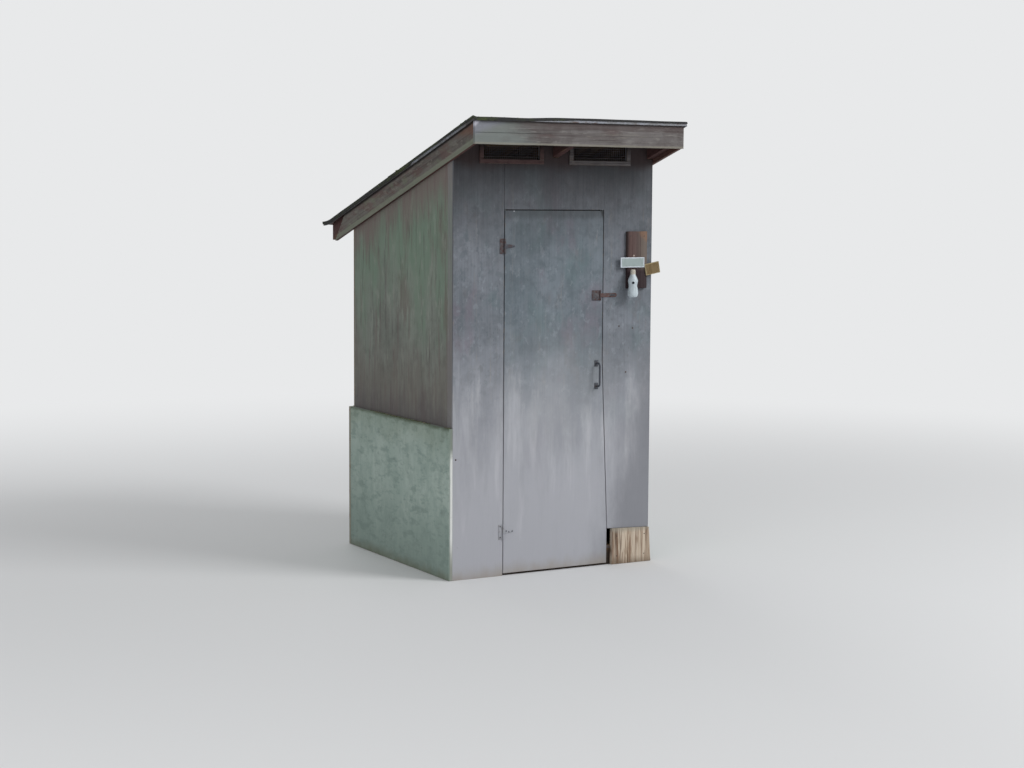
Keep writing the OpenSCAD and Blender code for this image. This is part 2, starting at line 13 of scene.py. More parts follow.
import bmesh
import bpy
from mathutils import Matrix, Vector, noise


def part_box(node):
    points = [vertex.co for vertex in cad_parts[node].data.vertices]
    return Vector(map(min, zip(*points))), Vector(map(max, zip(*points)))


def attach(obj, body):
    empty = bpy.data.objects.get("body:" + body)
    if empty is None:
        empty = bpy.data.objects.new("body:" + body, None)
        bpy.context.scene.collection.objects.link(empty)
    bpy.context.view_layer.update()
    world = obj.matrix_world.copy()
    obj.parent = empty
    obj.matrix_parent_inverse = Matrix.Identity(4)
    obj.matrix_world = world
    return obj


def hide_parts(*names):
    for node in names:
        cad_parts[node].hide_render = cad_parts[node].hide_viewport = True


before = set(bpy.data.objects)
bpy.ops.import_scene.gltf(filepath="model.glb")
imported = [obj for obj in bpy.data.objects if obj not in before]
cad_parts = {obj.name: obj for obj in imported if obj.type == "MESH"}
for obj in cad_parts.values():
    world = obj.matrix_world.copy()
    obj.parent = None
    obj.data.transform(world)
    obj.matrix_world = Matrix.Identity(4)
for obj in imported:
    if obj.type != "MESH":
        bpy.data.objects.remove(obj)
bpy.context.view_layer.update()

log = logging.getLogger("outhouse")

# Start of the moss's wander: without it noise_vector starts from the clock, and every run differs
NOISE_SEED = 7

BMesh = bmesh.types.BMesh
Socket = bpy.types.NodeSocket
Colour = tuple[int, int, int]
Triple = tuple[float, float, float]
Feed = Union[Socket, float, tuple]
Rule = Callable[[Vector, Vector], int]
Places = Iterable[tuple[Vector, Triple]]


def linear(colour: Colour) -> tuple[float, float, float, float]:
    """Turns a colour in display steps into the linear colour that a shader takes.

    Args:
        colour: Red, green and blue steps.

    Returns:
        The linear colour with full alpha.
    """
    shares = [step / 255 for step in colour]
    red, green, blue = (s / 12.92 if s <= 0.04045 else ((s + 0.055) / 1.055) ** 2.4 for s in shares)
    return red, green, blue, 1.0


class Body(Enum):
    """Moving bodies of the frame."""

    BUILDING = "building"
    DOOR = "door"
    FLAP = "flap"


class Axis(Enum):
    """Axes of the frame."""

    X = 0
    Y = 1
    Z = 2

    @property
    def way(self) -> Vector:
        """Gives the axis's direction."""
        return Vector([float(index == self.value) for index in range(3)])


class Kind(Enum):
    """Kinds of socket on a node group."""

    VALUE = "NodeSocketFloat"
    COLOUR = "NodeSocketColor"
    VECTOR = "NodeSocketVector"


# Sizes that the pieces share with the frame
FACE = 0.6095
INNER = 0.5975
DOOR_FACE = -0.610
FRONT_RISE = 2.206
REAR_RISE = 1.833
SLOPE = (FRONT_RISE - REAR_RISE) / (2 * FACE)
PITCH = math.atan(SLOPE)
# Thickness of the wall sheets and of the panels round their foot
SHEET = 0.012
PANEL = 0.022

# Directions that faces look in and stains come from
FRONT: Triple = (0.0, -1.0, 0.0)
REAR: Triple = (0.0, 1.0, 0.0)
LEFT: Triple = (-1.0, 0.0, 0.0)
RIGHT: Triple = (1.0, 0.0, 0.0)
UP: Triple = (0.0, 0.0, 1.0)
DOWN: Triple = (0.0, 0.0, -1.0)
OUT_OF_SLOPE: Triple = (0.0, math.sin(PITCH), math.cos(PITCH))
INTO_SLOPE: Triple = (0.0, -math.sin(PITCH), -math.cos(PITCH))
ZERO: Triple = (0.0, 0.0, 0.0)
# The same for the roof's meshes: down the slope towards the rear, and square to the deck
DOWN_SLOPE = Vector((0.0, math.cos(PITCH), -math.sin(PITCH)))
OFF_DECK = Vector(OUT_OF_SLOPE)

# Distance and angle under which the frame's loose triangles are joined into whole faces
WELD = 5e-6
FLAT = math.radians(0.6)
# Lean towards a sheet's outer side above which a face is its front, and below which it is its back
OUTER_LEAN = 0.35
BACK_LEAN = -0.8
# Depth by which a nail's or a screw's head is sunk in its seat
HEAD_SINK = 0.0002

# Start values of the node groups' inputs
GREY = (0.5, 0.5, 0.5, 1.0)
UPRIGHT: Triple = (130.0, 130.0, 2.6)
RUNS: Triple = (34.0, 34.0, 1.2)


def rafter_under(y: float) -> float:
    """Gives the height of the rafters' undersides at a depth."""
    return FRONT_RISE - (y + FACE) * SLOPE


# Distance of the rafters' undersides from the origin, square to the slope
UNDER_LINE = rafter_under(0.0) * math.cos(PITCH)


class Tree:
    """Short calls that add nodes to one node tree."""

    def __init__(self, tree: bpy.types.NodeTree) -> None:
        """Keeps the tree that the calls add to."""
        self.tree = tree

    def feed(self, socket: Socket, value: Feed) -> None:
        """Links or sets one input.

        Args:
            socket: Input to fill.
            value: Output to link, or a plain number, vector or colour.
        """
        if isinstance(value, Socket):
            self.tree.links.new(value, socket)
        else:
            socket.default_value = linear(value) if socket.type == "RGBA" else value

    def add(self, kind: str, values: dict, **settings: object) -> bpy.types.Node:
        """Adds a shader node.

        Args:
            kind: Node type without its ShaderNode prefix.
            values: What feeds its inputs, by name or number.
            **settings: Settings of the node.

        Returns:
            The new node.
        """
        node = self.tree.nodes.new("ShaderNode" + kind)
        for label, setting in settings.items():
            setattr(node, label, setting)
        for label, value in values.items():
            self.feed(node.inputs[label], value)
        return node

    def sum(self, operation: str, first: Feed, second: Feed = 0.0) -> Socket:
        """Works out one sum of up to two numbers."""
        return self.add("Math", {0: first, 1: second}, operation=operation).outputs[0]

    def plus(self, first: Feed, second: Feed) -> Socket:
        """Adds two numbers."""
        return self.sum("ADD", first, second)

    def minus(self, first: Feed, second: Feed) -> Socket:
        """Takes the second number from the first."""
        return self.sum("SUBTRACT", first, second)

    def times(self, first: Feed, second: Feed) -> Socket:
        """Multiplies two numbers."""
        return self.sum("MULTIPLY", first, second)

    def span(self, value: Feed, low: float, high: float, start: Feed = 0.0, end: Feed = 1.0) -> Socket:
        """Turns what lies between low and high smoothly into what lies between start and end."""
        values = {"Value": value, "From Min": low, "From Max": high, "To Min": start, "To Max": end}
        return self.add("MapRange", values, interpolation_type="SMOOTHSTEP").outputs[0]

    def mix(self, share: Feed, first: Feed, second: Feed) -> Socket:
        """Mixes a share of the second colour into the first."""
        values = {0: share, 6: first, 7: second}
        return self.add("Mix", values, data_type="RGBA", blend_type="MIX", clamp_factor=True).outputs[2]

    def stretch(self, vector: Feed, by: Feed, shift: float = 0.0) -> Socket:
        """Stretches a pattern's coordinates, and moves them to another part of the pattern.

        Args:
            vector: Coordinates.
            by: Factors along the three axes.
            shift: Distance to move along every axis.

        Returns:
            The stretched coordinates' socket.
        """
        grown = self.add("VectorMath", {0: vector, 1: by}, operation="MULTIPLY").outputs[0]
        if not shift:
            return grown
        return self.add("VectorMath", {0: grown, 1: (shift,) * 3}, operation="ADD").outputs[0]

    def cloud(self, vector: Feed, scale: float, detail: float = 3.0, rough: float = 0.5) -> Socket:
        """Reads a noise pattern with finer layers, which is about 0.3 to 0.7."""
        values = {"Vector": vector, "Scale": scale, "Detail": detail, "Roughness": rough}
        return self.add("TexNoise", values).outputs["Fac"]

    def cells(self, vector: Feed, scale: float) -> bpy.types.NodeOutputs:
        """Reads a pattern of scattered cells."""
        return self.add("TexVoronoi", {"Vector": vector, "Scale": scale, "Randomness": 1.0}).outputs


class Effect:
    """A shader node group that is built once and placed in several materials."""

    name: ClassVar[str]
    takes: ClassVar[dict[str, object]]
    gives: ClassVar[tuple[str, ...]]

    def draw(self, tree: Tree, given: dict) -> dict:
        """Draws the effect.

        Args:
            tree: Tree of the group.
            given: Sockets of the group's inputs, by name.

        Returns:
            Sockets of its outputs, by name.
        """
        raise NotImplementedError

    def group(self) -> bpy.types.NodeTree:
        """Builds the node group, or finds it where it was built before.

        Returns:
            The node group.
        """
        found = bpy.data.node_groups.get(self.name)
        if found:
            return found
        group = bpy.data.node_groups.new(self.name, "ShaderNodeTree")
        for label, start in self.takes.items():
            size = 1 if isinstance(start, float) else len(start)
            kind = {1: Kind.VALUE, 3: Kind.VECTOR, 4: Kind.COLOUR}[size]
            group.interface.new_socket(label, in_out="INPUT", socket_type=kind.value).default_value = start
        for label in self.gives:
            kind = Kind.COLOUR if label == "Color" else Kind.VALUE
            group.interface.new_socket(label, in_out="OUTPUT", socket_type=kind.value)
        source = group.nodes.new("NodeGroupInput")
        sink = group.nodes.new("NodeGroupOutput")
        given = {label: source.outputs[label] for label in self.takes}
        for label, socket in self.draw(Tree(group), given).items():
            group.links.new(socket, sink.inputs[label])
        return group

    def place(self, tree: Tree, values: dict) -> bpy.types.NodeOutputs:
        """Places the group in a tree.

        Args:
            tree: Tree of a material or of another group.
            values: What feeds the group's inputs, by name.

        Returns:
            The placed group's outputs.
        """
        node = tree.tree.nodes.new("ShaderNodeGroup")
        node.node_tree = self.group()
        for label, value in values.items():
            tree.feed(node.inputs[label], value)
        return node.outputs


class Grain(Effect):
    """Fine grain, broad bands and thin drying checks along the grain."""

    name = "Wood grain"
    takes = {"Vector": ZERO, "Stretch": UPRIGHT}
    gives = ("Fine", "Broad", "Check")

    def draw(self, tree: Tree, given: dict) -> dict:
        """Draws the grain."""
        run = tree.stretch(given["Vector"], given["Stretch"])
        ridge = tree.cloud(tree.stretch(run, (1, 1, 1), 3.1), 0.5, 2, 0.45)
        ridge = tree.sum("ABSOLUTE", tree.minus(ridge, 0.5))
        gate = tree.span(tree.cloud(tree.stretch(run, (1, 1, 1), 11.9), 0.2, 1), 0.5, 0.6)
        return {
            "Fine": tree.cloud(run, 1.0, 6, 0.62),
            "Broad": tree.cloud(tree.stretch(run, (1, 1, 1), 7.3), 0.22, 3),
            "Check": tree.times(tree.span(ridge, 0.012, 0.002), gate),
        }


class Weather(Effect):
    """Cloudy blotches, rain runs and small specks."""

    name = "Weathering"
    takes = {"Vector": ZERO, "Blotch Scale": 3.0, "Run Stretch": RUNS}
    gives = ("Blotch", "Run", "Speck")

    def draw(self, tree: Tree, given: dict) -> dict:
        """Draws the weathering."""
        vector = given["Vector"]
        run = tree.cloud(tree.stretch(vector, given["Run Stretch"], 4.7), 1.0, 5, 0.6)
        dot = tree.span(tree.cells(tree.stretch(vector, (75, 75, 34)), 1.0)["Distance"], 0.30, 0.14)
        crowd = tree.span(tree.cloud(tree.stretch(vector, (9, 9, 6), 2.2), 1.0, 2), 0.48, 0.62)
        return {
            "Blotch": tree.span(tree.cloud(vector, given["Blotch Scale"], 5, 0.58), 0.36, 0.64),
            "Run": tree.span(run, 0.46, 0.68),
            "Speck": tree.times(dot, crowd),
        }


class EdgeWear(Effect):
    """Ragged wear that starts at a piece's edges."""

    name = "Edge wear"
    takes = {"Vector": ZERO, "Worn": 0.0, "Amount": 0.4}
    gives = ("Mask",)

    def draw(self, tree: Tree, given: dict) -> dict:
        """Draws the wear."""
        ragged = tree.cloud(tree.stretch(given["Vector"], (60, 60, 38)), 1.0, 4, 0.6)
        reach = tree.plus(given["Worn"], tree.times(tree.minus(ragged, 0.5), 1.5))
        return {"Mask": tree.span(tree.minus(reach, tree.minus(1.25, given["Amount"])), -0.05, 0.16)}


class Paint(Effect):
    """Old paint that the weather has clouded, streaked, thinned along the grain and worn off at the edges."""

    name = "Old paint"
    takes = {
        "Vector": ZERO, "Worn": 0.0, "Stretch": UPRIGHT, "Run Stretch": RUNS, "Blotch Scale": 3.0,
        "Paint": GREY, "Pale": GREY, "Dark": GREY, "Under": GREY, "Bare": GREY, "Under Share": 0.1,
        "Wear": 0.4, "Speck Share": 0.2, "Streaks": 1.0,
    }
    gives = ("Color", "Roughness", "Height")

    def draw(self, tree: Tree, given: dict) -> dict:
        """Draws the paint."""
        vector, streaks, pale, dark = (given[label] for label in ("Vector", "Streaks", "Pale", "Dark"))
        grain = GRAIN.place(tree, {"Vector": vector, "Stretch": given["Stretch"]})
        weather = WEATHER.place(tree, {label: given[label] for label in WEATHER.takes})
        tone = tree.mix(weather["Blotch"], given["Paint"], pale)
        tone = tree.mix(tree.span(tree.cloud(vector, 13, 6, 0.66), 0.44, 0.64, 0.0, 0.38), tone, dark)
        tone = tree.mix(tree.span(tree.cloud(vector, 31, 5, 0.66), 0.5, 0.66, 0.0, 0.3), tone, pale)
        lines = tree.plus(tree.span(grain["Fine"], 0.47, 0.68, 0.0, 0.45), tree.times(weather["Run"], 0.5))
        tone = tree.mix(tree.times(lines, streaks), tone, dark)
        tone = tree.mix(tree.times(tree.span(grain["Fine"], 0.46, 0.3, 0.0, 0.4), streaks), tone, pale)
        thin = tree.cloud(tree.stretch(vector, given["Run Stretch"], 9.4), 1.6, 6, 0.66)
        thin = tree.span(tree.plus(thin, given["Under Share"]), 0.72, 0.94, 0.0, 0.8)
        tone = tree.mix(thin, tone, given["Under"])
        values = {"Vector": vector, "Worn": given["Worn"], "Amount": given["Wear"]}
        edge = EDGE_WEAR.place(tree, values)["Mask"]
        bare = tree.sum("MAXIMUM", edge, tree.times(grain["Check"], tree.times(streaks, 0.75)))
        tone = tree.mix(bare, tone, given["Bare"])
        tone = tree.mix(tree.times(weather["Speck"], given["Speck Share"]), tone, (60, 64, 62))
        rough = tree.span(tree.plus(grain["Fine"], tree.times(bare, 0.3)), 0.3, 0.8, 0.66, 0.93)
        height = tree.minus(tree.times(grain["Fine"], 0.5), tree.times(bare, 0.45))
        return {"Color": tone, "Roughness": rough, "Height": height}


class Wood(Effect):
    """Bare sawn wood with growth rings, knots, checks and grey weathering."""

    name = "Sawn wood"
    takes = {
        "Vector": ZERO, "Stretch": UPRIGHT, "Light": GREY, "Dark": GREY, "Grey": GREY, "Greying": 0.4,
        "Knots": 0.7,
    }
    gives = ("Color", "Roughness", "Height")

    def draw(self, tree: Tree, given: dict) -> dict:
        """Draws the wood."""
        grain = GRAIN.place(tree, {label: given[label] for label in GRAIN.takes})
        bend = tree.stretch(given["Vector"], given["Stretch"], 1.7)
        middle = tree.cells(bend, 0.045)["Distance"]
        halo = tree.times(tree.span(middle, 0.42, 0.05), 5.0)
        band = tree.plus(tree.times(tree.cloud(bend, 0.12, 2, 0.4), 30.0), halo)
        band = tree.span(tree.sum("SINE", band), -0.6, 0.9)
        tone = tree.mix(tree.times(band, 0.55), given["Light"], given["Dark"])
        tone = tree.mix(tree.span(grain["Fine"], 0.45, 0.7, 0.0, 0.6), tone, given["Dark"])
        tone = tree.mix(tree.times(tree.span(middle, 0.16, 0.04), given["Knots"]), tone, (66, 44, 30))
        tone = tree.mix(tree.span(grain["Broad"], 0.42, 0.62, 0.0, given["Greying"]), tone, given["Grey"])
        tone = tree.mix(tree.times(grain["Check"], 0.8), tone, (38, 30, 26))
        height = tree.plus(tree.times(grain["Fine"], 0.6), tree.times(band, 0.25))
        height = tree.minus(height, tree.times(grain["Check"], 0.7))
        return {"Color": tone, "Roughness": tree.span(grain["Fine"], 0.3, 0.7, 0.7, 0.92), "Height": height}


class Rust(Effect):
    """Iron or painted iron that has gone from its own colour to rust."""

    name = "Rust"
    takes = {
        "Vector": ZERO, "Worn": 0.0, "Iron": GREY, "Deep": GREY, "Bright": GREY, "Amount": 0.4, "Metal": 0.0,
    }
    gives = ("Color", "Metallic", "Roughness", "Height")

    def draw(self, tree: Tree, given: dict) -> dict:
        """Draws the rust."""
        broad = tree.cloud(tree.stretch(given["Vector"], (1, 1, 1), 5.5), 55, 5, 0.65)
        grit = tree.cloud(given["Vector"], 420, 4, 0.7)
        level = tree.plus(broad, tree.times(given["Worn"], 0.1))
        rusty = tree.span(tree.plus(level, given["Amount"]), 0.72, 1.0)
        tone = tree.mix(tree.span(grit, 0.4, 0.62), given["Deep"], given["Bright"])
        tone = tree.mix(rusty, given["Iron"], tone)
        return {
            "Color": tree.mix(tree.span(grit, 0.6, 0.74, 0.0, 0.5), tone, (46, 30, 24)),
            "Metallic": tree.times(tree.span(rusty, 0.0, 0.8, 0.85, 0.0), given["Metal"]),
            "Roughness": tree.span(rusty, 0.0, 1.0, 0.55, 0.88),
            "Height": tree.times(grit, tree.span(rusty, 0.0, 1.0, 0.3, 1.0)),
        }


class Moss(Effect):
    """Ragged film of moss and algae."""

    name = "Moss film"
    takes = {"Vector": ZERO, "Amount": 0.2}
    gives = ("Mask", "Color")

    def draw(self, tree: Tree, given: dict) -> dict:
        """Draws the film."""
        fuzz = tree.cloud(given["Vector"], 260, 3, 0.6)
        mask = tree.span(tree.plus(tree.cloud(given["Vector"], 9, 6, 0.68), given["Amount"]), 0.74, 0.96)
        tone = tree.mix(tree.span(fuzz, 0.38, 0.62), (44, 54, 32), (84, 94, 54))
        return {"Mask": tree.times(mask, tree.span(fuzz, 0.3, 0.55, 0.5, 1.0)), "Color": tone}


GRAIN, WEATHER, EDGE_WEAR = Grain(), Weather(), EdgeWear()
PAINT, WOOD, RUST, MOSS = Paint(), Wood(), Rust(), Moss()


class Surface:
    """A material under construction, with its coordinates and its shader."""

    def __init__(self, name: str) -> None:
        """Starts a material with one Principled shader.

        Args:
            name: Name of the material.
        """
        self.material = bpy.data.materials.new(name)
        self.material.use_nodes = True
        self.tree = Tree(self.material.node_tree)
        self.shader = self.material.node_tree.nodes["Principled BSDF"]
        self.place = self.tree.add("TexCoord", {}).outputs["Object"]
        self.parts = self.tree.add("SeparateXYZ", {"Vector": self.place}).outputs

    def worn(self) -> Socket:
        """Reads how near the surface is to an edge of its piece."""
        return self.tree.add("Attribute", {}, attribute_name="worn").outputs["Fac"]

    def turned(self, angle: float) -> Socket:
        """Turns the coordinates about X by an angle in radians."""
        return self.tree.add("Mapping", {"Vector": self.place, "Rotation": (angle, 0.0, 0.0)}).outputs[0]

    def finish(self, tone: Feed, rough: Feed, height: Feed, depth: float,
               **plain: object) -> bpy.types.Material:
        """Connects the shader.

        Args:
            tone: Base colour.
            rough: Roughness.
            height: Height for the bump.
            depth: Depth of the bump.
            **plain: Other inputs of the shader by name, with underscores for spaces.

        Returns:
            The material.
        """
        bump = self.tree.add("Bump", {"Strength": 0.8, "Distance": depth, "Height": height}).outputs[0]
        for label, value in {"Base_Color": tone, "Roughness": rough, "Normal": bump, **plain}.items():
            self.tree.feed(self.shader.inputs[label.replace("_", " ")], value)
        return self.material


@dataclass(frozen=True)
class Stain:
    """A colour that comes in along one direction, or in patches, with a ragged front. It lays stains and
    dirt, and also painted shade, painted shadows and painted highlights.
    """

    colour: Colour
    along: Triple
    start: float
    end: float
    share: float = 0.6
    ragged: float = 1.0
    scale: Triple = (3.0, 3.0, 1.5)
    seed: float = 0.0

    def lay(self, surface: Surface, tone: Feed) -> Socket:
        """Lays the stain over a tone.

        Args:
            surface: Surface that is drawn on.
            tone: Its colour so far.

        Returns:
            The stained colour.
        """
        tree = surface.tree
        values = {0: surface.place, 1: self.along}
        reach = tree.add("VectorMath", values, operation="DOT_PRODUCT").outputs["Value"]
        rough = tree.cloud(tree.stretch(surface.place, self.scale, self.seed), 1.0, 5, 0.62)
        level = tree.plus(reach, tree.times(tree.minus(rough, 0.5), self.ragged))
        return tree.mix(tree.span(level, self.start, self.end, 0.0, self.share), tone, self.colour)


@dataclass(frozen=True)
class Finish:
    """A finish whose material is drawn once and kept on a shelf for every piece that has it."""

    shelf: ClassVar[dict[str, bpy.types.Material]] = {}
    name: str

    def material(self) -> bpy.types.Material:
        """Gives the finish's material, drawn at its first use.

        Returns:
            The material.
        """
        if self.name not in self.shelf:
            self.shelf[self.name] = self.draw(Surface(self.name + "_finish"))
        return self.shelf[self.name]

    def draw(self, surface: Surface) -> bpy.types.Material:
        """Draws the finish.

        Args:
            surface: New surface to draw on.

        Returns:
            The surface's material.
        """
        raise NotImplementedError


@dataclass(frozen=True)
class StainedFinish(Finish):
    """A finish with stains over it, some of which are painted shade, painted shadows or painted highlights.
    """

    def stained(self, surface: Surface, tone: Feed) -> Feed:
        """Lays the finish's stains over a tone, with any painted shade and painted highlights among them.

        Args:
            surface: Surface that is drawn on.
            tone: Its colour so far.

        Returns:
            The stained colour.
        """
        for stain in self.stains:
            tone = stain.lay(surface, tone)
        return tone


@dataclass(frozen=True)
class PaintFinish(StainedFinish):
    """Weathered paint on plywood or on a board."""

    paint: Colour
    pale: Colour
    dark: Colour
    under: Colour
    bare: Colour
    stains: tuple[Stain, ...] = ()
    grain: Axis = Axis.Z
    turn: float = 0.0
    streaks: float = 1.0
    under_share: float = 0.1
    wear: float = 0.35
    specks: float = 0.15
    blotch: float = 3.0
    depth: float = 0.0012

    def draw(self, surface: Surface) -> bpy.types.Material:
        """Draws the paint and its stains."""
        fine, runs = [UPRIGHT[0]] * 3, [RUNS[0]] * 3
        fine[self.grain.value], runs[self.grain.value] = UPRIGHT[2], RUNS[2]
        coat = PAINT.place(surface.tree, {
            "Vector": surface.turned(self.turn), "Worn": surface.worn(), "Stretch": tuple(fine),
            "Run Stretch": tuple(runs), "Blotch Scale": self.blotch, "Paint": self.paint, "Pale": self.pale,
            "Dark": self.dark, "Under": self.under, "Bare": self.bare, "Under Share": self.under_share,
            "Wear": self.wear, "Speck Share": self.specks, "Streaks": self.streaks,
        })
        tone = self.stained(surface, coat["Color"])
        return surface.finish(tone, coat["Roughness"], coat["Height"], self.depth, Specular_IOR_Level=0.3)


@dataclass(frozen=True)
class WoodFinish(StainedFinish):
    """Bare wood, raw inside the building and grey or painted outside."""

    light: Colour
    dark: Colour
    grey: Colour
    greying: float = 0.4
    stains: tuple[Stain, ...] = ()
    grain: Axis = Axis.Z
    turn: float = 0.0
    knots: float = 0.7
    fine: float = UPRIGHT[0]
    long: float = UPRIGHT[2]
    outside: Colour | None = None

    def draw(self, surface: Surface) -> bpy.types.Material:
        """Draws the wood, its stains and the old paint on what lies outside the walls."""
        tree, parts = surface.tree, surface.parts
        stretch = [self.fine] * 3
        stretch[self.grain.value] = self.long
        place = surface.turned(self.turn)
        wood = WOOD.place(tree, {
            "Vector": place, "Stretch": tuple(stretch), "Light": self.light, "Dark": self.dark,
            "Grey": self.grey, "Greying": self.greying, "Knots": self.knots,
        })
        tone = wood["Color"]
        if self.outside:
            far = [tree.minus(tree.sum("ABSOLUTE", parts[axis]), FACE) for axis in ("X", "Y")]
            out = tree.span(tree.sum("MAXIMUM", *far), -0.004, 0.002)
            flaw = tree.span(tree.cloud(tree.stretch(place, (30, 4, 30)), 1.0, 5, 0.65), 0.70, 0.60, 0.5, 1.0)
            coat = tree.mix(tree.cloud(place, 40, 4), self.outside, (58, 40, 38))
            tone = tree.mix(tree.times(out, flaw), tone, coat)
        tone = self.stained(surface, tone)
        return surface.finish(tone, wood["Roughness"], wood["Height"], 0.0012, Specular_IOR_Level=0.3)


@dataclass(frozen=True)
class LayeredEdge(StainedFinish):
    """Sawn edge of plywood, with its layers and what is left of the paint."""

    across: Axis
    start: float
    thickness: float
    layers: int
    paint: Colour
    cover: float = 0.45
    stains: tuple[Stain, ...] = ()

    def draw(self, surface: Surface) -> bpy.types.Material:
        """Draws the layers, the paint and its stains."""
        tree = surface.tree
        fray = tree.cloud(surface.place, 90, 4, 0.6)
        level = tree.sum("DIVIDE", tree.minus(surface.parts[self.across.value], self.start), self.thickness)
        level = tree.plus(level, tree.times(tree.minus(fray, 0.5), 0.12))
        wave = tree.sum("SINE", tree.times(level, math.pi * self.layers))
        tone = tree.mix(tree.span(wave, -0.3, 0.3), (102, 84, 68), (148, 130, 108))
        tone = tree.mix(tree.span(fray, 0.5, 0.7, 0.0, 0.5), tone, (84, 76, 66))
        shift = self.cover * 0.25
        left = tree.span(tree.cloud(surface.place, 26, 5, 0.65), 0.5 - shift, 0.62 - shift)
        tone = self.stained(surface, tree.mix(tree.times(left, self.cover), tone, self.paint))
        height = tree.plus(tree.times(wave, 0.2), fray)
        return surface.finish(tone, 0.88, height, 0.0015, Specular_IOR_Level=0.25)


@dataclass(frozen=True)
class IronFinish(Finish):
    """Iron or painted iron with rust on it."""

    iron: Colour
    deep: Colour
    bright: Colour
    amount: float
    metal: float

    def draw(self, surface: Surface) -> bpy.types.Material:
        """Draws the iron and its rust."""
        coat = RUST.place(surface.tree, {
            "Vector": surface.place, "Worn": surface.worn(), "Iron": self.iron, "Deep": self.deep,
            "Bright": self.bright, "Amount": self.amount, "Metal": self.metal,
        })
        tone, rough, height = coat["Color"], coat["Roughness"], coat["Height"]
        return surface.finish(tone, rough, height, 0.0005, Metallic=coat["Metallic"])


@dataclass(frozen=True)
class FeltFinish(Finish):
    """Rolled roofing with worn granules, moss and dirt."""

    base: Colour
    grit: Colour
    bitumen: Colour

    def draw(self, surface: Surface) -> bpy.types.Material:
        """Draws the granules, the bald patches and the moss."""
        tree = surface.tree
        grains = tree.cells(surface.place, 620.0)["Distance"]
        tone = tree.mix(tree.span(grains, 0.1, 0.6), self.grit, self.base)
        fine = tree.span(tree.cloud(surface.place, 300, 2), 0.35, 0.65, 0.0, 0.5)
        tone = tree.mix(fine, tone, (34, 36, 38))
        bald = tree.cloud(tree.stretch(surface.turned(PITCH), (6, 2.4, 6)), 1.0, 6, 0.66)
        tone = tree.mix(tree.span(bald, 0.54, 0.64, 0.0, 0.8), tone, self.bitumen)
        tone = tree.mix(tree.times(surface.worn(), 0.55), tone, self.bitumen)
        amount = tree.span(surface.parts["X"], 0.5, -0.63, 0.16, 0.3)
        moss = MOSS.place(tree, {"Vector": surface.place, "Amount": amount})
        tone = tree.mix(tree.times(moss["Mask"], 0.7), tone, moss["Color"])
        height = tree.minus(tree.times(moss["Mask"], 0.5), tree.times(grains, 0.6))
        return surface.finish(tone, 0.93, height, 0.0012, Specular_IOR_Level=0.25)


@dataclass(frozen=True)
class ZincFinish(StainedFinish):
    """Dull galvanized sheet, dirty and rusty in places."""

    zinc: Colour
    dull: Colour
    stains: tuple[Stain, ...] = ()

    def draw(self, surface: Surface) -> bpy.types.Material:
        """Draws the zinc's spangle, the dirt and the rust."""
        tree = surface.tree
        grey = tree.add("RGBToBW", {"Color": tree.cells(surface.place, 90.0)["Color"]}).outputs[0]
        tone = tree.mix(tree.span(grey, 0.2, 0.8, 0.0, 0.6), self.zinc, self.dull)
        dirt = tree.cloud(tree.stretch(surface.place, (9, 9, 30)), 1.0, 5, 0.65)
        tone = tree.mix(tree.span(dirt, 0.44, 0.6, 0.0, 0.7), tone, (84, 82, 80))
        run = tree.cloud(tree.stretch(surface.place, (16, 16, 60), 3.0), 1.0, 5, 0.65)
        rusty = tree.span(run, 0.56, 0.68, 0.0, 0.85)
        tone = self.stained(surface, tree.mix(rusty, tone, (88, 68, 60)))
        metal = tree.span(rusty, 0.0, 0.5, 0.25, 0.0)
        return surface.finish(tone, tree.span(rusty, 0.0, 0.8, 0.6, 0.85), run, 0.0008, Metallic=metal)


@dataclass(frozen=True)
class GlazeFinish(StainedFinish):
    """Smooth paint or glaze on a small ornament or sign, with cloudy dirt and worn edges."""

    body: Colour
    dirt: Colour
    rough: float
    edge: Colour
    edge_wear: float
    stains: tuple[Stain, ...] = ()

    def draw(self, surface: Surface) -> bpy.types.Material:
        """Draws the glaze, its dirt and its worn edges."""
        tree = surface.tree
        tone = self.stained(surface, self.body)
        grime = tree.cloud(tree.stretch(surface.place, (60, 60, 14)), 1.0, 6, 0.65)
        tone = tree.mix(tree.span(grime, 0.46, 0.72, 0.0, 0.6), tone, self.dirt)
        tone = tree.mix(tree.span(tree.cloud(surface.place, 240, 2), 0.64, 0.72, 0.0, 0.5), tone, self.dirt)
        values = {"Vector": surface.place, "Worn": surface.worn(), "Amount": self.edge_wear}
        tone = tree.mix(EDGE_WEAR.place(tree, values)["Mask"], tone, self.edge)
        rough = tree.span(grime, 0.4, 0.7, self.rough, self.rough + 0.3)
        return surface.finish(tone, rough, tree.cloud(surface.place, 150, 3), 0.0004)


@dataclass(frozen=True)
class MossFinish(Finish):
    """Cushions of moss."""

    shade: Colour
    tip: Colour

    def draw(self, surface: Surface) -> bpy.types.Material:
        """Draws the moss with brown patches."""
        tree = surface.tree
        fuzz = tree.cloud(surface.place, 420, 4, 0.7)
        tone = tree.mix(tree.span(fuzz, 0.35, 0.65), self.shade, self.tip)
        tone = tree.mix(tree.span(tree.cloud(surface.place, 24, 3), 0.5, 0.65, 0.0, 0.6), tone, (104, 88, 54))
        return surface.finish(tone, 0.95, fuzz, 0.003, Specular_IOR_Level=0.1, Sheen_Weight=0.3)


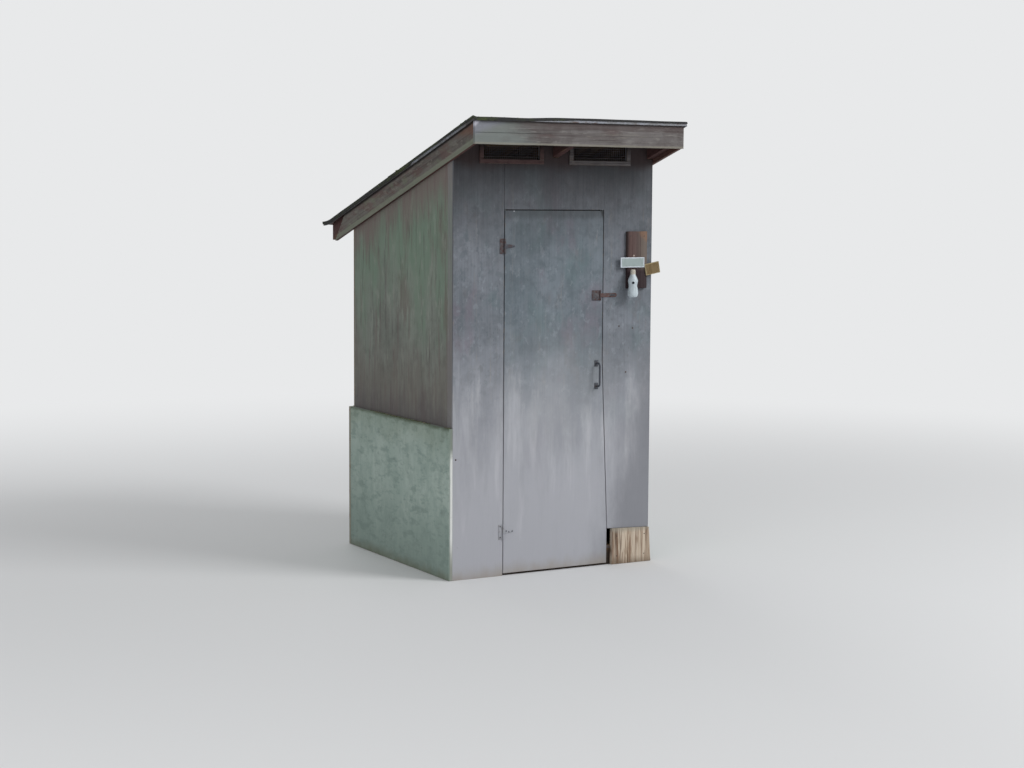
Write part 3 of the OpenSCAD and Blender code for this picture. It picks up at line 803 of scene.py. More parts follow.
@dataclass(frozen=True)
class StageFinish(Finish):
    """The studio floor, which goes over into the surround."""

    base: Colour
    surround: Colour

    def draw(self, surface: Surface) -> bpy.types.Material:
        """Draws the floor."""
        tree = surface.tree
        flat = tree.stretch(surface.place, (1.0, 1.0, 0.0))
        reach = tree.add("VectorMath", {0: flat}, operation="LENGTH").outputs["Value"]
        tree.feed(surface.shader.inputs["Base Color"], self.base)
        tree.feed(surface.shader.inputs["Roughness"], 0.9)
        glow = tree.add("Emission", {"Color": self.surround, "Strength": 1.0})
        far = tree.times(tree.span(reach, 2.2, 9.0), seen(tree))
        blend = tree.add("MixShader", {0: far, 1: surface.shader.outputs[0], 2: glow.outputs[0]})
        output = surface.material.node_tree.nodes["Material Output"]
        tree.feed(output.inputs["Surface"], blend.outputs[0])
        return surface.material


def seen(tree: Tree) -> Socket:
    """Reads 1 for rays that show the surface itself or its reflection.

    Args:
        tree: Tree of a material or of the world.

    Returns:
        The reading.
    """
    path = tree.add("LightPath", {}).outputs
    mirror = tree.sum("MAXIMUM", path["Is Glossy Ray"], path["Is Transmission Ray"])
    return tree.sum("MAXIMUM", path["Is Camera Ray"], mirror)


# Colours of raw wood and old paint, the grain of a fine stain, and the finishes of the pieces, some of which
# carry painted shade, painted shadows or painted highlights
FINE: Triple = (20.0, 20.0, 20.0)
BARE_PLY = (150, 140, 128)
BARREL_RED = (84, 56, 54)
RAW_DARK = (96, 70, 48)
RAW_GREY = (104, 96, 86)
RAW = ((140, 112, 82), RAW_DARK, RAW_GREY)
# Paler towards the foot: partly weathered, bleached paint and partly painted sunlight on the lower front
FOOT_PALE = Stain((186, 186, 191), DOWN, -1.45, -0.30, 0.85, 0.75, (2.4, 2.4, 1.3), 6.6)
FRONT_STAINS_AND_SHADE = (
    Stain((96, 115, 118), ZERO, 0.02, 0.16, 0.42, 1.0, (4.5, 4.5, 3.0), 1.3),
    Stain((118, 106, 118), ZERO, 0.04, 0.18, 0.40, 1.0, (5.0, 5.0, 2.6), 14.7),
    Stain((86, 96, 102), ZERO, 0.04, 0.13, 0.36, 1.0, (26.0, 26.0, 20.0), 17.2),
    Stain((142, 148, 156), ZERO, 0.07, 0.16, 0.32, 1.0, (30.0, 30.0, 20.0), 31.0),
    Stain((104, 92, 86), ZERO, 0.09, 0.17, 0.18, 1.0, (7.0, 7.0, 3.0), 23.1),
    FOOT_PALE,
    Stain((212, 212, 218), DOWN, -1.00, -0.30, 0.36, 2.4, (9.0, 9.0, 1.8), 41.0),
    Stain((134, 137, 146), DOWN, -1.20, -0.45, 0.42, 2.4, (16.0, 16.0, 1.6), 53.0),
    Stain((112, 114, 120), (1.0, 0.0, -0.30), 0.14, 0.40, 0.68, 0.30, (7.0, 7.0, 3.0), 2.0),
    # Painted shade of the roof's overhang, darkening the front towards the eaves, with some grime
    Stain((54, 54, 57), UP, 1.58, 2.18, 0.90, 0.45, (4.0, 4.0, 2.4), 1.9),
    # Darker red-brown band at the very top: painted shade and dirt under the eaves
    Stain((56, 42, 41), UP, 2.12, 2.20, 0.80, 0.10, (6.0, 6.0, 4.0), 4.9),
    Stain((144, 132, 114), DOWN, -0.09, 0.03, 0.65, 0.10, (14.0, 14.0, 8.0), 3.3),
)
FRONT_PAINT = PaintFinish(
    "front_paint", (106, 112, 119), (124, 129, 137), (86, 91, 97), (104, 94, 94),
    BARE_PLY, FRONT_STAINS_AND_SHADE, streaks=0.42, under_share=0.02, wear=0.16, specks=0.3, blotch=3.2, depth=0.0009,
)
DOOR_STAINS_AND_SHADE = FRONT_STAINS_AND_SHADE + (
    # Painted shade along the door's top edge, under the header
    Stain((56, 60, 62), UP, 1.870, 1.902, 0.42, 0.02, (12.0, 12.0, 12.0), 8.0),
    # Painted shade in the door's top right corner
    Stain((34, 36, 38), (2.0, 0.0, 1.0), 2.468, 2.492, 0.80, 0.02, FINE),
)
DOOR_PAINT = PaintFinish(
    "door_paint", (99, 109, 116), (117, 126, 134), (82, 90, 96), (100, 95, 97),
    BARE_PLY, DOOR_STAINS_AND_SHADE, streaks=0.34, under_share=0.02, wear=0.16, specks=0.2, blotch=3.0, depth=0.0009,
)
SIDE_PAINT = PaintFinish(
    "side_paint", (112, 117, 110), (127, 132, 125), (88, 90, 85), (108, 92, 90),
    (118, 110, 104), (
        Stain((125, 139, 126), UP, 1.16, 1.66, 0.72, 1.1, (4.0, 4.5, 1.6), 2.2),
        Stain((105, 130, 111), UP, 1.24, 1.74, 0.55, 2.0, (6.0, 7.0, 2.4), 6.4),
        Stain((106, 92, 88), ZERO, 0.00, 0.14, 0.54, 1.0, (7.0, 7.0, 1.8), 8.1),
        Stain((104, 84, 83), ZERO, 0.04, 0.13, 0.38, 1.0, (30.0, 28.0, 2.6), 3.3),
        Stain((76, 76, 72), ZERO, 0.05, 0.15, 0.42, 1.0, (36.0, 34.0, 4.0), 21.0),
        Stain((142, 147, 138), ZERO, 0.05, 0.14, 0.50, 1.0, (28.0, 26.0, 6.0), 33.0),
        Stain((107, 101, 95), DOWN, -1.30, -0.95, 0.58, 0.6, (6.0, 6.0, 1.8), 5.1),
        Stain((76, 70, 76), DOWN, -1.00, -0.80, 0.50, 0.4, (20.0, 18.0, 2.0), 7.7),
        Stain((114, 90, 91), OUT_OF_SLOPE, UNDER_LINE - 0.26, UNDER_LINE - 0.02, 0.66, 0.5,
              (14.0, 13.0, 2.2)),
        # Painted shadow on the side wall just under the rake board
        Stain((50, 44, 46), OUT_OF_SLOPE, UNDER_LINE - 0.016, UNDER_LINE - 0.004, 0.70, 0.006, FINE),
        Stain((126, 124, 126), FRONT, 0.546, 0.549, 0.60, 0.004, (14.0, 14.0, 14.0)),
    ), streaks=0.4, under_share=0.02, wear=0.2, specks=0.15, blotch=2.6,
)
SKIRT_PAINT = PaintFinish(
    "skirt_paint", (158, 175, 167), (172, 187, 179), (124, 143, 136), (132, 138, 128),
    (150, 160, 150), (
        Stain((122, 140, 133), ZERO, 0.00, 0.15, 0.55, 1.0, (12.0, 9.0, 22.0), 4.4),
        Stain((100, 114, 109), ZERO, 0.08, 0.18, 0.30, 1.0, (26.0, 18.0, 50.0), 9.2),
        Stain((112, 124, 104), UP, 0.60, 0.82, 0.45, 0.30, (5.0, 6.0, 8.0), 15.0),
        Stain((116, 134, 127), DOWN, -0.50, -0.05, 0.60, 0.4, (4.0, 4.0, 3.0), 2.7),
        # Dark green band along the panel's top: moss, and painted shadow where the panel meets the sheet
        # above
        Stain((74, 86, 66), UP, 0.776, 0.797, 0.80, 0.03, (12.0, 12.0, 30.0)),
        Stain((104, 104, 84), DOWN, -0.07, 0.02, 0.70, 0.08, (14.0, 14.0, 10.0), 5.3),
    ), streaks=0.25, under_share=0.02, wear=0.12, specks=0.07, blotch=3.4,
)
FASCIA_PAINT = PaintFinish(
    "fascia_paint", (92, 87, 86), (110, 106, 105), (70, 62, 61), (88, 68, 66),
    (130, 126, 118), (
        Stain((90, 73, 71), ZERO, 0.00, 0.14, 0.55, 1.0, (4.0, 4.0, 16.0), 1.1),
        Stain((138, 136, 132), ZERO, 0.06, 0.17, 0.40, 1.0, (10.0, 10.0, 70.0), 11.0),
        Stain((76, 62, 61), UP, 2.325, 2.375, 0.66, 0.05, (6.0, 6.0, 20.0), 3.0),
        Stain((122, 130, 127), LEFT, 0.20, 0.50, 0.75, 0.45, (5.0, 5.0, 14.0), 4.0),
        # Painted highlight at the fascia's upper left end: a pale bluish patch and a near-white corner
        Stain((136, 136, 152), (-0.6, 0.0, 1.6), 4.03, 4.11, 0.55, 0.08, (8.0, 8.0, 20.0), 7.0),
        Stain((204, 204, 216), (-1.0, 0.0, 1.0), 2.960, 2.982, 0.90, 0.02, FINE),
        Stain((140, 136, 124), DOWN, -2.268, -2.262, 0.55, 0.004, FINE),
        # Painted shadow on the fascia just below the drip edge
        Stain((52, 46, 46), UP, 2.362, 2.372, 0.75, 0.006, FINE),
    ), grain=Axis.X, under_share=0.12, wear=0.3, specks=0.15, depth=0.002, blotch=4.0,
)
RAKE_PAINT = PaintFinish(
    "rake_paint", (93, 89, 85), (109, 105, 99), (72, 64, 62), (88, 68, 66),
    (124, 120, 108), (
        Stain((92, 70, 67), ZERO, 0.00, 0.12, 0.60, 1.0, (20.0, 5.0, 20.0), 2.0),
        Stain((104, 110, 92), ZERO, 0.02, 0.13, 0.50, 1.0, (16.0, 9.0, 16.0), 12.0),
        Stain((126, 124, 114), ZERO, 0.05, 0.14, 0.45, 1.0, (40.0, 16.0, 40.0), 22.0),
        Stain((102, 72, 60), UP, 2.285, 2.318, 0.75, 0.03, (14.0, 14.0, 14.0), 6.0),
        Stain((122, 127, 112), INTO_SLOPE, -UNDER_LINE - 0.004, -UNDER_LINE + 0.004, 0.75, 0.012, FINE),
        # Painted shadow on the rake board just under the drip edge's side
        Stain((34, 30, 30), OUT_OF_SLOPE, UNDER_LINE + 0.068, UNDER_LINE + 0.076, 0.85, 0.008, FINE),
    ), grain=Axis.Y, turn=PITCH, under_share=0.16, wear=0.35, specks=0.1, depth=0.002,
)
VENT_SHADE = (Stain((34, 26, 26), UP, 2.205, 2.265, 0.75, 0.02, FINE),)
VENT_PAINT_LEFT = PaintFinish(
    "left_vent_paint", (78, 56, 56), (92, 72, 70), (54, 40, 40), (70, 46, 44),
    (96, 84, 78), VENT_SHADE, grain=Axis.X, under_share=0.16, wear=0.3,
)
VENT_PAINT_RIGHT = PaintFinish(
    "right_vent_paint", (88, 84, 85), (108, 104, 105), (64, 58, 59), (80, 60, 58),
    (110, 102, 96), VENT_SHADE, grain=Axis.X, under_share=0.12, wear=0.35,
)
RED_PAINT = PaintFinish(
    "red_paint", BARREL_RED, (92, 62, 56), (56, 40, 38), (60, 48, 44), (96, 78, 66),
    grain=Axis.Y, turn=PITCH, under_share=0.1, wear=0.3, depth=0.002,
)
PATCH_WOOD = WoodFinish(
    "patch_wood", (206, 191, 172), (146, 124, 104), (182, 172, 160), 0.4, (
        Stain((98, 76, 60), ZERO, 0.03, 0.09, 0.90, 1.0, (40.0, 1.0, 1.2), 3.4),
        Stain((126, 100, 80), ZERO, 0.03, 0.10, 0.75, 1.0, (84.0, 1.0, 4.0), 12.4),
        Stain((150, 146, 134), UP, 0.165, 0.195, 0.70, 0.04, FINE),
        Stain((96, 82, 66), DOWN, -0.045, 0.01, 0.65, 0.05, (20.0, 20.0, 14.0)),
    ), fine=95.0, long=1.6, knots=0.2,
)
BACKBOARD_WOOD = WoodFinish(
    "backboard_wood", (90, 78, 73), (50, 40, 36), (94, 86, 82), 0.5, (
        Stain((116, 106, 98), RIGHT, 0.515, 0.545, 0.60, 0.03, (20.0, 20.0, 6.0)),
        Stain((140, 100, 72), (0.5, 0.0, 0.5), 1.150, 1.172, 0.44, 0.05, (24.0, 24.0, 12.0)),
        Stain((86, 56, 56), LEFT, -0.530, -0.480, 0.42, 0.04, (20.0, 20.0, 5.0)),
        # Painted shade along the board's left edge
        Stain((46, 36, 36), LEFT, -0.457, -0.444, 0.70, 0.012, (20.0, 20.0, 8.0)),
        # Painted shade on the board's foot, below the signs, over its dark brown
        Stain((40, 27, 32), DOWN, -1.640, -1.600, 0.90, 0.03, (20.0, 20.0, 8.0)),
    ), fine=120.0, long=2.2,
)
DECK_UNDER = WoodFinish("deck_under", *RAW, 0.5, grain=Axis.Y, turn=PITCH, outside=BARREL_RED, fine=60.0)
FLOOR_PLY = WoodFinish(
    "floor_ply", (146, 122, 94), (104, 82, 60), (108, 100, 90), 0.7, grain=Axis.Y, fine=60.0,
)
GROUND_DAMP = Stain((44, 35, 29), DOWN, -0.13, -0.07, 0.95, 0.06, FINE)
WALL_PLY = WoodFinish("wall_ply_back", (150, 126, 98), RAW_DARK, RAW_GREY, 0.5, (GROUND_DAMP,), fine=60.0)
PLATE_SHADE = Stain((20, 17, 17), UP, 2.170, 2.186, 0.96, 0.004, FINE)
PLATE_WOOD = WoodFinish("plate_wood", *RAW, 0.5, (PLATE_SHADE,), grain=Axis.X)
POST_PAINT_AND_SHADE = (
    Stain((150, 153, 159), FRONT, INNER - 0.001, INNER - 0.0004, 1.0, 0.0),
    # Painted shade: the posts' foot darkened to near black, so the slot beside the patch board reads as shade
    Stain((30, 25, 23), DOWN, -0.26, -0.20, 0.97, 0.04, FINE),
)
HEADER_SHADE = Stain((22, 20, 20), FRONT, INNER - 0.001, INNER - 0.0004, 1.0, 0.0)
HEADER_WOOD = WoodFinish("door_header_wood", *RAW, 0.5, (HEADER_SHADE,), grain=Axis.X)
POST_WOOD = WoodFinish("door_post_wood", *RAW, 0.5, POST_PAINT_AND_SHADE)
RAFTER_WOOD = WoodFinish("rafter_wood", *RAW, 0.4, grain=Axis.Y, turn=PITCH, outside=BARREL_RED)
TIMBER = {
    axis: WoodFinish(f"timber_{axis.name.lower()}", *RAW, 0.5, (GROUND_DAMP,), grain=axis)
    for axis in Axis
}
# The sheets' and the door's edges take the front's paler foot, which is partly painted sunlight
FRONT_EDGE = LayeredEdge("front_edge", Axis.Y, -FACE, SHEET, 5, (100, 104, 110), 0.95, (FOOT_PALE,))
DOOR_EDGE = LayeredEdge("door_edge", Axis.Y, DOOR_FACE, SHEET, 5, (94, 99, 106), 0.95, (FOOT_PALE,))
SIDE_EDGE = LayeredEdge("side_edge", Axis.X, -FACE, SHEET, 5, (96, 104, 96), 0.5)
REAR_EDGE = LayeredEdge("rear_edge", Axis.Y, INNER, SHEET, 5, (96, 104, 96), 0.5)
# Left panel's front edge: whitish paint that is partly painted sunlight, greener at its upper end and muddy
# at the foot
SKIRT_EDGE = LayeredEdge("skirt_edge", Axis.X, FACE, PANEL, 7, (222, 224, 221), 1.0, (
    Stain((112, 122, 112), UP, 0.63, 0.69, 0.90, 0.08, (12.0, 12.0, 12.0)),
    Stain((118, 122, 110), DOWN, -0.24, -0.06, 0.80, 0.10, (12.0, 12.0, 12.0)),
    Stain((122, 136, 128), LEFT, 0.621, 0.626, 0.85, 0.004, (12.0, 12.0, 12.0)),
))
RIGHT_SKIRT_EDGE = LayeredEdge("right_skirt_edge", Axis.X, FACE, PANEL, 7, (150, 158, 148), 0.6)
REAR_SKIRT_EDGE = LayeredEdge("rear_skirt_edge", Axis.Y, FACE, PANEL, 7, (150, 158, 148), 0.6)
DECK_EDGE = LayeredEdge("deck_edge", Axis.Z, 0.0, 0.0095, 5, (92, 86, 90), 0.7)
PAINTED_IRON = IronFinish("painted_iron", (70, 70, 74), (62, 48, 48), (88, 64, 62), 0.24, 0.0)
PALE_IRON = IronFinish("pale_iron", (158, 160, 166), (112, 104, 100), (134, 122, 114), 0.12, 0.0)
RUSTY_IRON = IronFinish("rusty_iron", (64, 66, 74), (56, 45, 48), (80, 62, 62), 0.20, 0.1)
HASP_IRON = IronFinish("hasp_iron", (76, 72, 74), (74, 52, 52), (103, 74, 68), 0.36, 0.1)
DARK_IRON = IronFinish("dark_iron", (68, 72, 80), (58, 46, 42), (96, 74, 60), 0.16, 0.3)
NAIL_IRON = IronFinish("nail_iron", (66, 64, 64), (72, 54, 48), (104, 80, 66), 0.3, 0.4)
WIRE_ZINC = IronFinish("wire_zinc", (108, 102, 106), (50, 42, 38), (74, 60, 50), 0.2, 0.4)
ROOFING_FELT = FeltFinish("roofing_felt", (58, 60, 62), (88, 88, 86), (38, 36, 36))
DRIP_ZINC = ZincFinish("drip_zinc", (120, 123, 131), (94, 97, 103), (
    Stain((54, 51, 50), (-0.27, -1.0, 0.0), 0.971, 0.975, 0.92, 0.002, FINE),
    Stain((50, 48, 47), REAR, -0.21, -0.17, 0.90, 0.02, FINE),
))
SIGN_WHITE = GlazeFinish("sign_white", (148, 161, 161), (140, 150, 150), 0.6, (208, 215, 224), 0.85)
SIGN_TAN = GlazeFinish("sign_tan", (110, 92, 60), (82, 66, 44), 0.7, (146, 132, 100), 0.8)
STUD_PAINT = GlazeFinish("stud_paint", (166, 150, 142), (112, 98, 92), 0.6, (186, 172, 162), 0.5)
BOTTLE_WHITE = GlazeFinish(
    "bottle_white", (190, 201, 207), (136, 145, 147), 0.42, (176, 178, 172), 0.3,
    (Stain((190, 183, 170), UP, 1.580, 1.588, 1.0, 0.012, (60.0, 60.0, 20.0)),),
)
# Painted shade inside the bottle's round hole
BOTTLE_HOLE_SHADE = GlazeFinish("bottle_hole_shade", (62, 68, 77), (46, 49, 54), 0.8, (62, 68, 77), 0.0)
CUSHION_MOSS = MossFinish("cushion_moss", (40, 52, 28), (98, 110, 56))


def fade(value: float, low: float, high: float) -> float:
    """Gives a smooth step from 0 at low to 1 at high."""
    share = min(1.0, max(0.0, (value - low) / (high - low)))
    return share * share * (3.0 - 2.0 * share)


def reach(node: str, along: Vector) -> tuple[float, float]:
    """Gives the ends of a node along a direction.

    Args:
        node: Name of the node.
        along: Direction to measure in.

    Returns:
        Distances of the near and the far end from the origin.
    """
    places = [vert.co.dot(along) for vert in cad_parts[node].data.vertices]
    return min(places), max(places)


def facing(outward: Sequence[float]) -> Rule:
    """Gives a rule for a sheet: 0 on its outer face, 1 on its edges and 2 on its back.

    Args:
        outward: Direction of the outer face.

    Returns:
        The rule.
    """
    out = Vector(outward)

    def rule(normal: Vector, middle: Vector) -> int:
        """Gives the number of one face's finish."""
        lean = normal.dot(out)
        return 0 if lean > OUTER_LEAN else (2 if lean < BACK_LEAN else 1)

    return rule


def rod(bm: BMesh, start: Vector, end: Vector, radius: float, sides: int) -> None:
    """Adds a straight round rod.

    Args:
        bm: Mesh in the making.
        start: Middle of the rod's one end.
        end: Middle of its other end.
        radius: Radius of the rod.
        sides: Number of its sides.
    """
    run = end - start
    place = Matrix.Translation((start + end) / 2) @ run.to_track_quat("Z", "Y").to_matrix().to_4x4()
    bmesh.ops.create_cone(
        bm, cap_ends=True, segments=sides, radius1=radius, radius2=radius, depth=run.length, matrix=place
    )


def cushion(bm: BMesh, place: Vector, thick: float, seed: float) -> None:
    """Adds one small cushion of moss.

    Args:
        bm: Mesh in the making.
        place: Middle of its seat.
        thick: Growth, from 0 for none to about 0.8.
        seed: Place in the pattern that moves and swells the cushion.
    """
    if thick <= 0.12:
        return
    wander = noise.noise_vector(Vector((seed * 1.37, 0.4, 2.2)))
    size = 0.0045 + 0.006 * thick * (0.7 + abs(wander.x))
    middle = place + Vector((wander.x * 0.008, wander.y * 0.008, -0.0004))
    form = Matrix.Translation(middle) @ Matrix.Diagonal((1.0 + 0.5 * wander.z, 1.2, 0.55, 1.0))
    made = bmesh.ops.create_icosphere(bm, subdivisions=2, radius=size, matrix=form)
    for vert in made["verts"]:
        vert.co += (vert.co - middle) * 0.28 * noise.noise(vert.co * 420.0)
        vert.co.z = max(vert.co.z, place.z - 0.0012)


def round_off(obj: bpy.types.Object, angle: float) -> None:
    """Shades an object smoothly, apart from its sharper edges.

    Args:
        obj: Object to shade.
        angle: Angle in degrees from which an edge stays sharp.
    """
    for polygon in obj.data.polygons:
        polygon.use_smooth = True
    obj.data.set_sharp_from_angle(angle=math.radians(angle))


class Shape:
    """Mesh of one piece in the making."""

    def __init__(self, node: str = "") -> None:
        """Starts an empty mesh, or copies a node's with its loose triangles joined into whole faces.

        Args:
            node: Name of the node.
        """
        self.node = node
        self.bm = bm = bmesh.new()
        if node:
            bm.from_mesh(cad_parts[node].data)
            bmesh.ops.remove_doubles(bm, verts=bm.verts[:], dist=WELD)
            bmesh.ops.dissolve_limit(bm, angle_limit=FLAT, verts=bm.verts[:], edges=bm.edges[:])

    def ease(self, width: float, border: float = 0.0, segments: int = 2, angle: float = 28.0) -> None:
        """Rounds the sharp edges, and marks how near a point is to them in the layer named worn.

        Args:
            width: Width of the rounding.
            border: Width over which the mark fades on the large faces.
            segments: Number of steps across the rounding.
            angle: Smallest angle of an edge that is rounded, in degrees.
        """
        bm, limit = self.bm, math.radians(angle)
        layer = bm.verts.layers.float.get("worn") or bm.verts.layers.float.new("worn")
        made = bmesh.ops.bevel(
            bm, geom=[edge for edge in bm.edges if edge.is_manifold and edge.calc_face_angle(0.0) > limit],
            offset=width, offset_type="OFFSET", segments=segments, profile=0.5, affect="EDGES",
            clamp_overlap=True, material=-1,
        )
        for face in made["faces"]:
            for vert in face.verts:
                vert[layer] = 1.0
        if not border:
            return
        bm.normal_update()
        groups: dict[tuple, list[bmesh.types.BMFace]] = {}
        rounded = set(made["faces"])
        for face in bm.faces:
            if face not in rounded:
                key = tuple(round(n, 2) for n in face.normal) + (round(face.normal.dot(face.verts[0].co), 4),)
                groups.setdefault(key, []).append(face)
        for faces in groups.values():
            area = sum(face.calc_area() for face in faces)
            rim = sum(face.calc_perimeter() for face in faces)
            depth = min(border, 0.5 * area / max(rim, 1e-6))
            if depth < 0.3 * border:
                continue
            bmesh.ops.inset_region(bm, faces=faces, thickness=depth, use_even_offset=True, use_boundary=True)
            for face in faces:
                for vert in face.verts:
                    vert[layer] = 0.0

    def slice(self, along: Vector, place: float) -> None:
        """Cuts the mesh with one plane.

        Args:
            along: Direction that the plane faces.
            place: Distance of the plane from the origin.
        """
        whole = self.bm.verts[:] + self.bm.edges[:] + self.bm.faces[:]
        bmesh.ops.bisect_plane(self.bm, geom=whole, dist=1e-6, plane_co=along * place, plane_no=along)

    def cut(self, along: Vector, step: float, ends: tuple[float, float] | None = None) -> None:
        """Cuts the mesh with evenly spaced planes.

        Args:
            along: Direction that the planes face.
            step: Distance between two planes.
            ends: Distances from the origin between which it is cut, or nothing to cut it all.
        """
        low, high = ends or reach(self.node, along)
        out = along.normalized()
        for index in range(1, int((high - low) / step) + 1):
            self.slice(out, low + index * step)

    def sway(self, axis: Axis, amount: float, scale: float, seed: float) -> None:
        """Moves the points a little along one axis, in slow waves.

        Args:
            axis: Axis of the movement.
            amount: Greatest movement.
            scale: Number of waves in a metre.
            seed: Place in the wave pattern.
        """
        for vert in self.bm.verts:
            flat = vert.co.copy()
            flat[axis.value] = seed
            vert.co[axis.value] += amount * noise.noise(flat * scale)

    def choose(self, rule: Rule) -> None:
        """Gives each face the number of its finish.

        Args:
            rule: Function of a face's normal and middle that gives the number.
        """
        self.bm.normal_update()
        for face in self.bm.faces:
            face.material_index = rule(face.normal, face.calc_center_median())

    def mesh(self, name: str) -> bpy.types.Mesh:
        """Turns the shape into a mesh, after which the shape is gone.

        Args:
            name: Name of the mesh.

        Returns:
            The mesh.
        """
        mesh = bpy.data.meshes.new(name)
        self.bm.to_mesh(mesh)
        self.bm.free()
        return mesh

    def obj(self, name: str, *finishes: Finish) -> bpy.types.Object:
        """Turns the shape into an object at the origin.

        Args:
            name: Name of the object.
            *finishes: Its finishes, in the order of the faces' numbers.

        Returns:
            The object.
        """
        obj = bpy.data.objects.new(name, self.mesh(name))
        for finish in finishes:
            obj.data.materials.append(finish.material())
        bpy.context.scene.collection.objects.link(obj)
        return obj


@dataclass(frozen=True)
class Fastener:
    """Head of a nail or a screw."""

    radius: float
    rise: float
    slot: float = 0.0
    sides: int = 12

    def drive(self, bm: BMesh, place: Vector, out: Triple, turn: float) -> None:
        """Adds the head to a mesh in the making.

        Args:
            bm: Mesh in the making.
            place: Middle of the head on its seat.
            out: Direction in which the head stands.
            turn: Turn of the slot in radians.
        """
        up = Vector(out).normalized()
        seat = Matrix.Translation(place + up * (self.rise / 2 - HEAD_SINK))
        made = bmesh.ops.create_cone(
            bm, cap_ends=True, segments=self.sides, radius1=self.radius, radius2=self.radius * 0.86,
            depth=self.rise + 2 * HEAD_SINK, matrix=seat @ up.to_track_quat("Z", "Y").to_matrix().to_4x4(),
        )
        top = [v for v in made["verts"] if (v.co - place).dot(up) > self.rise * 0.6]
        rim = [e for e in {e for v in top for e in v.link_edges} if all(v in top for v in e.verts)]
        bmesh.ops.bevel(
            bm, geom=rim, offset=self.rise * 0.42, offset_type="OFFSET", segments=2, profile=0.5,
            affect="EDGES", clamp_overlap=True, material=-1,
        )
        if not self.slot:
            return
        cap = max(
            (f for f in bm.faces if (f.calc_center_median() - place).length < self.rise * 1.6),
            key=lambda f: (f.calc_center_median() - place).dot(up),
        )
        across = Matrix.Rotation(turn, 3, up) @ up.orthogonal().normalized()
        for side in (-0.5, 0.5):
            cut = bmesh.ops.bisect_plane(
                bm, geom=[cap] + list(cap.edges) + list(cap.verts), dist=1e-7,
                plane_co=place + across * self.slot * side, plane_no=across,
            )
            faces = [g for g in cut["geom"] if isinstance(g, bmesh.types.BMFace)]
            cap = min(faces, key=lambda f: abs((f.calc_center_median() - place).dot(across)))
        sunk = bmesh.ops.extrude_discrete_faces(bm, faces=[cap])["faces"][0]
        bmesh.ops.translate(bm, verts=list(sunk.verts), vec=-up * self.rise * 0.5)


WALL_NAIL = Fastener(0.0042, 0.0010)
BOARD_NAIL = Fastener(0.0036, 0.0008)
ROOF_NAIL = Fastener(0.0050, 0.0012)
HINGE_SCREW = Fastener(0.0040, 0.0013, 0.0010, 16)
SMALL_SCREW = Fastener(0.0030, 0.0012, 0.0008, 16)
PALE_STUD = Fastener(0.0058, 0.0045, 0.0, 24)


def on_front(depth: float, spots: Iterable[tuple[float, float]]) -> list[tuple[Vector, Triple]]:
    """Gives the places of heads on a face that looks to the front, from their X and Z."""
    return [(Vector((x, depth, z)), FRONT) for x, z in spots]


class Assembly:
    """A group of pieces that are made and handed to the frame together."""

    def hand_in(self, obj: bpy.types.Object, body: Body, slot: str, *nodes: str) -> bpy.types.Object:
        """Hands a piece to the frame.

        Args:
            obj: The piece.
            body: Body that it moves with.
            slot: Material slot of the record; not used.
            *nodes: Nodes that it stands for.

        Returns:
            The piece.
        """
        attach(obj, body.value)
        if nodes:
            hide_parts(*nodes)
        log.info("%s: %d faces on %s", obj.name, len(obj.data.polygons), body.value)
        return obj

    def keep(self, shape: Shape, name: str, finishes: Sequence[Finish], slot: str,
             body: Body = Body.BUILDING) -> bpy.types.Object:
        """Turns a shape into a piece that stands for the shape's node, and hands it to the frame.

        Args:
            shape: Shape of the piece.
            name: Name of the piece.
            finishes: Its finishes, in the order of the faces' numbers.
            slot: Material slot of the record.
            body: Body that it moves with.

        Returns:
            The piece.
        """
        return self.hand_in(shape.obj(name, *finishes), body, slot, *([shape.node] if shape.node else []))

    def heads(self, name: str, kind: Fastener, finish: Finish, places: Places, body: Body = Body.BUILDING,
              slot: str = "rusty_iron") -> None:
        """Makes one piece of many nail or screw heads.

        Args:
            name: Name of the piece.
            kind: Head to repeat.
            finish: Finish of the heads.
            places: Middle and direction of every head.
            body: Body that it moves with.
            slot: Material slot of the record.
        """
        shape = Shape()
        for index, (place, out) in enumerate(places):
            kind.drive(shape.bm, place, out, 0.9 * index + 0.3)
        self.keep(shape, name, [finish], slot, body)


@dataclass
class FloorAndFrame(Assembly):
    """Joists, floor and the timber frame inside the walls."""

    rounding: float = 0.0025
    border: float = 0.008
    step: float = 0.16
    between_posts: float = 0.559
    lengthwise: dict[str, Axis] = field(default_factory=lambda: {
        "floor_joists": Axis.X, "front_corner_posts": Axis.Z, "rear_corner_posts": Axis.Z,
        "door_posts": Axis.Z, "door_header": Axis.X, "front_plate": Axis.X, "rear_plate": Axis.X,
        "wall_girts": Axis.Y,
    })
    seen: dict[str, WoodFinish] = field(default_factory=lambda: {
        "front_plate": PLATE_WOOD, "door_posts": POST_WOOD, "door_header": HEADER_WOOD,
    })

    def build(self) -> None:
        """Builds every timber and the floor."""
        for index, (node, axis) in enumerate(self.lengthwise.items()):
            shape = Shape(node)
            shape.ease(self.rounding, self.border)
            shape.cut(axis.way, self.step)
            shape.sway(Axis.Z if axis is Axis.X else Axis.X, 0.0012, 1.7, 3.3 * index)
            for vert in shape.bm.verts:
                vert.co.z = max(vert.co.z, 0.0)
            # The girt between the posts lies across the others, and so does its grain
            inner = self.between_posts if node == "wall_girts" else 0.0
            shape.choose(lambda normal, middle: int(abs(middle.x) < inner))
            finishes = [self.seen.get(node, TIMBER[axis]), TIMBER[Axis.X]]
            self.keep(shape, node + "_timber", finishes, "framing")
        shape = Shape("floor_sheet")
        shape.ease(0.001, 0.006)
        shape.choose(facing(UP))
        self.keep(shape, "floor_ply_sheet", [FLOOR_PLY, DECK_EDGE, WALL_PLY], "framing")


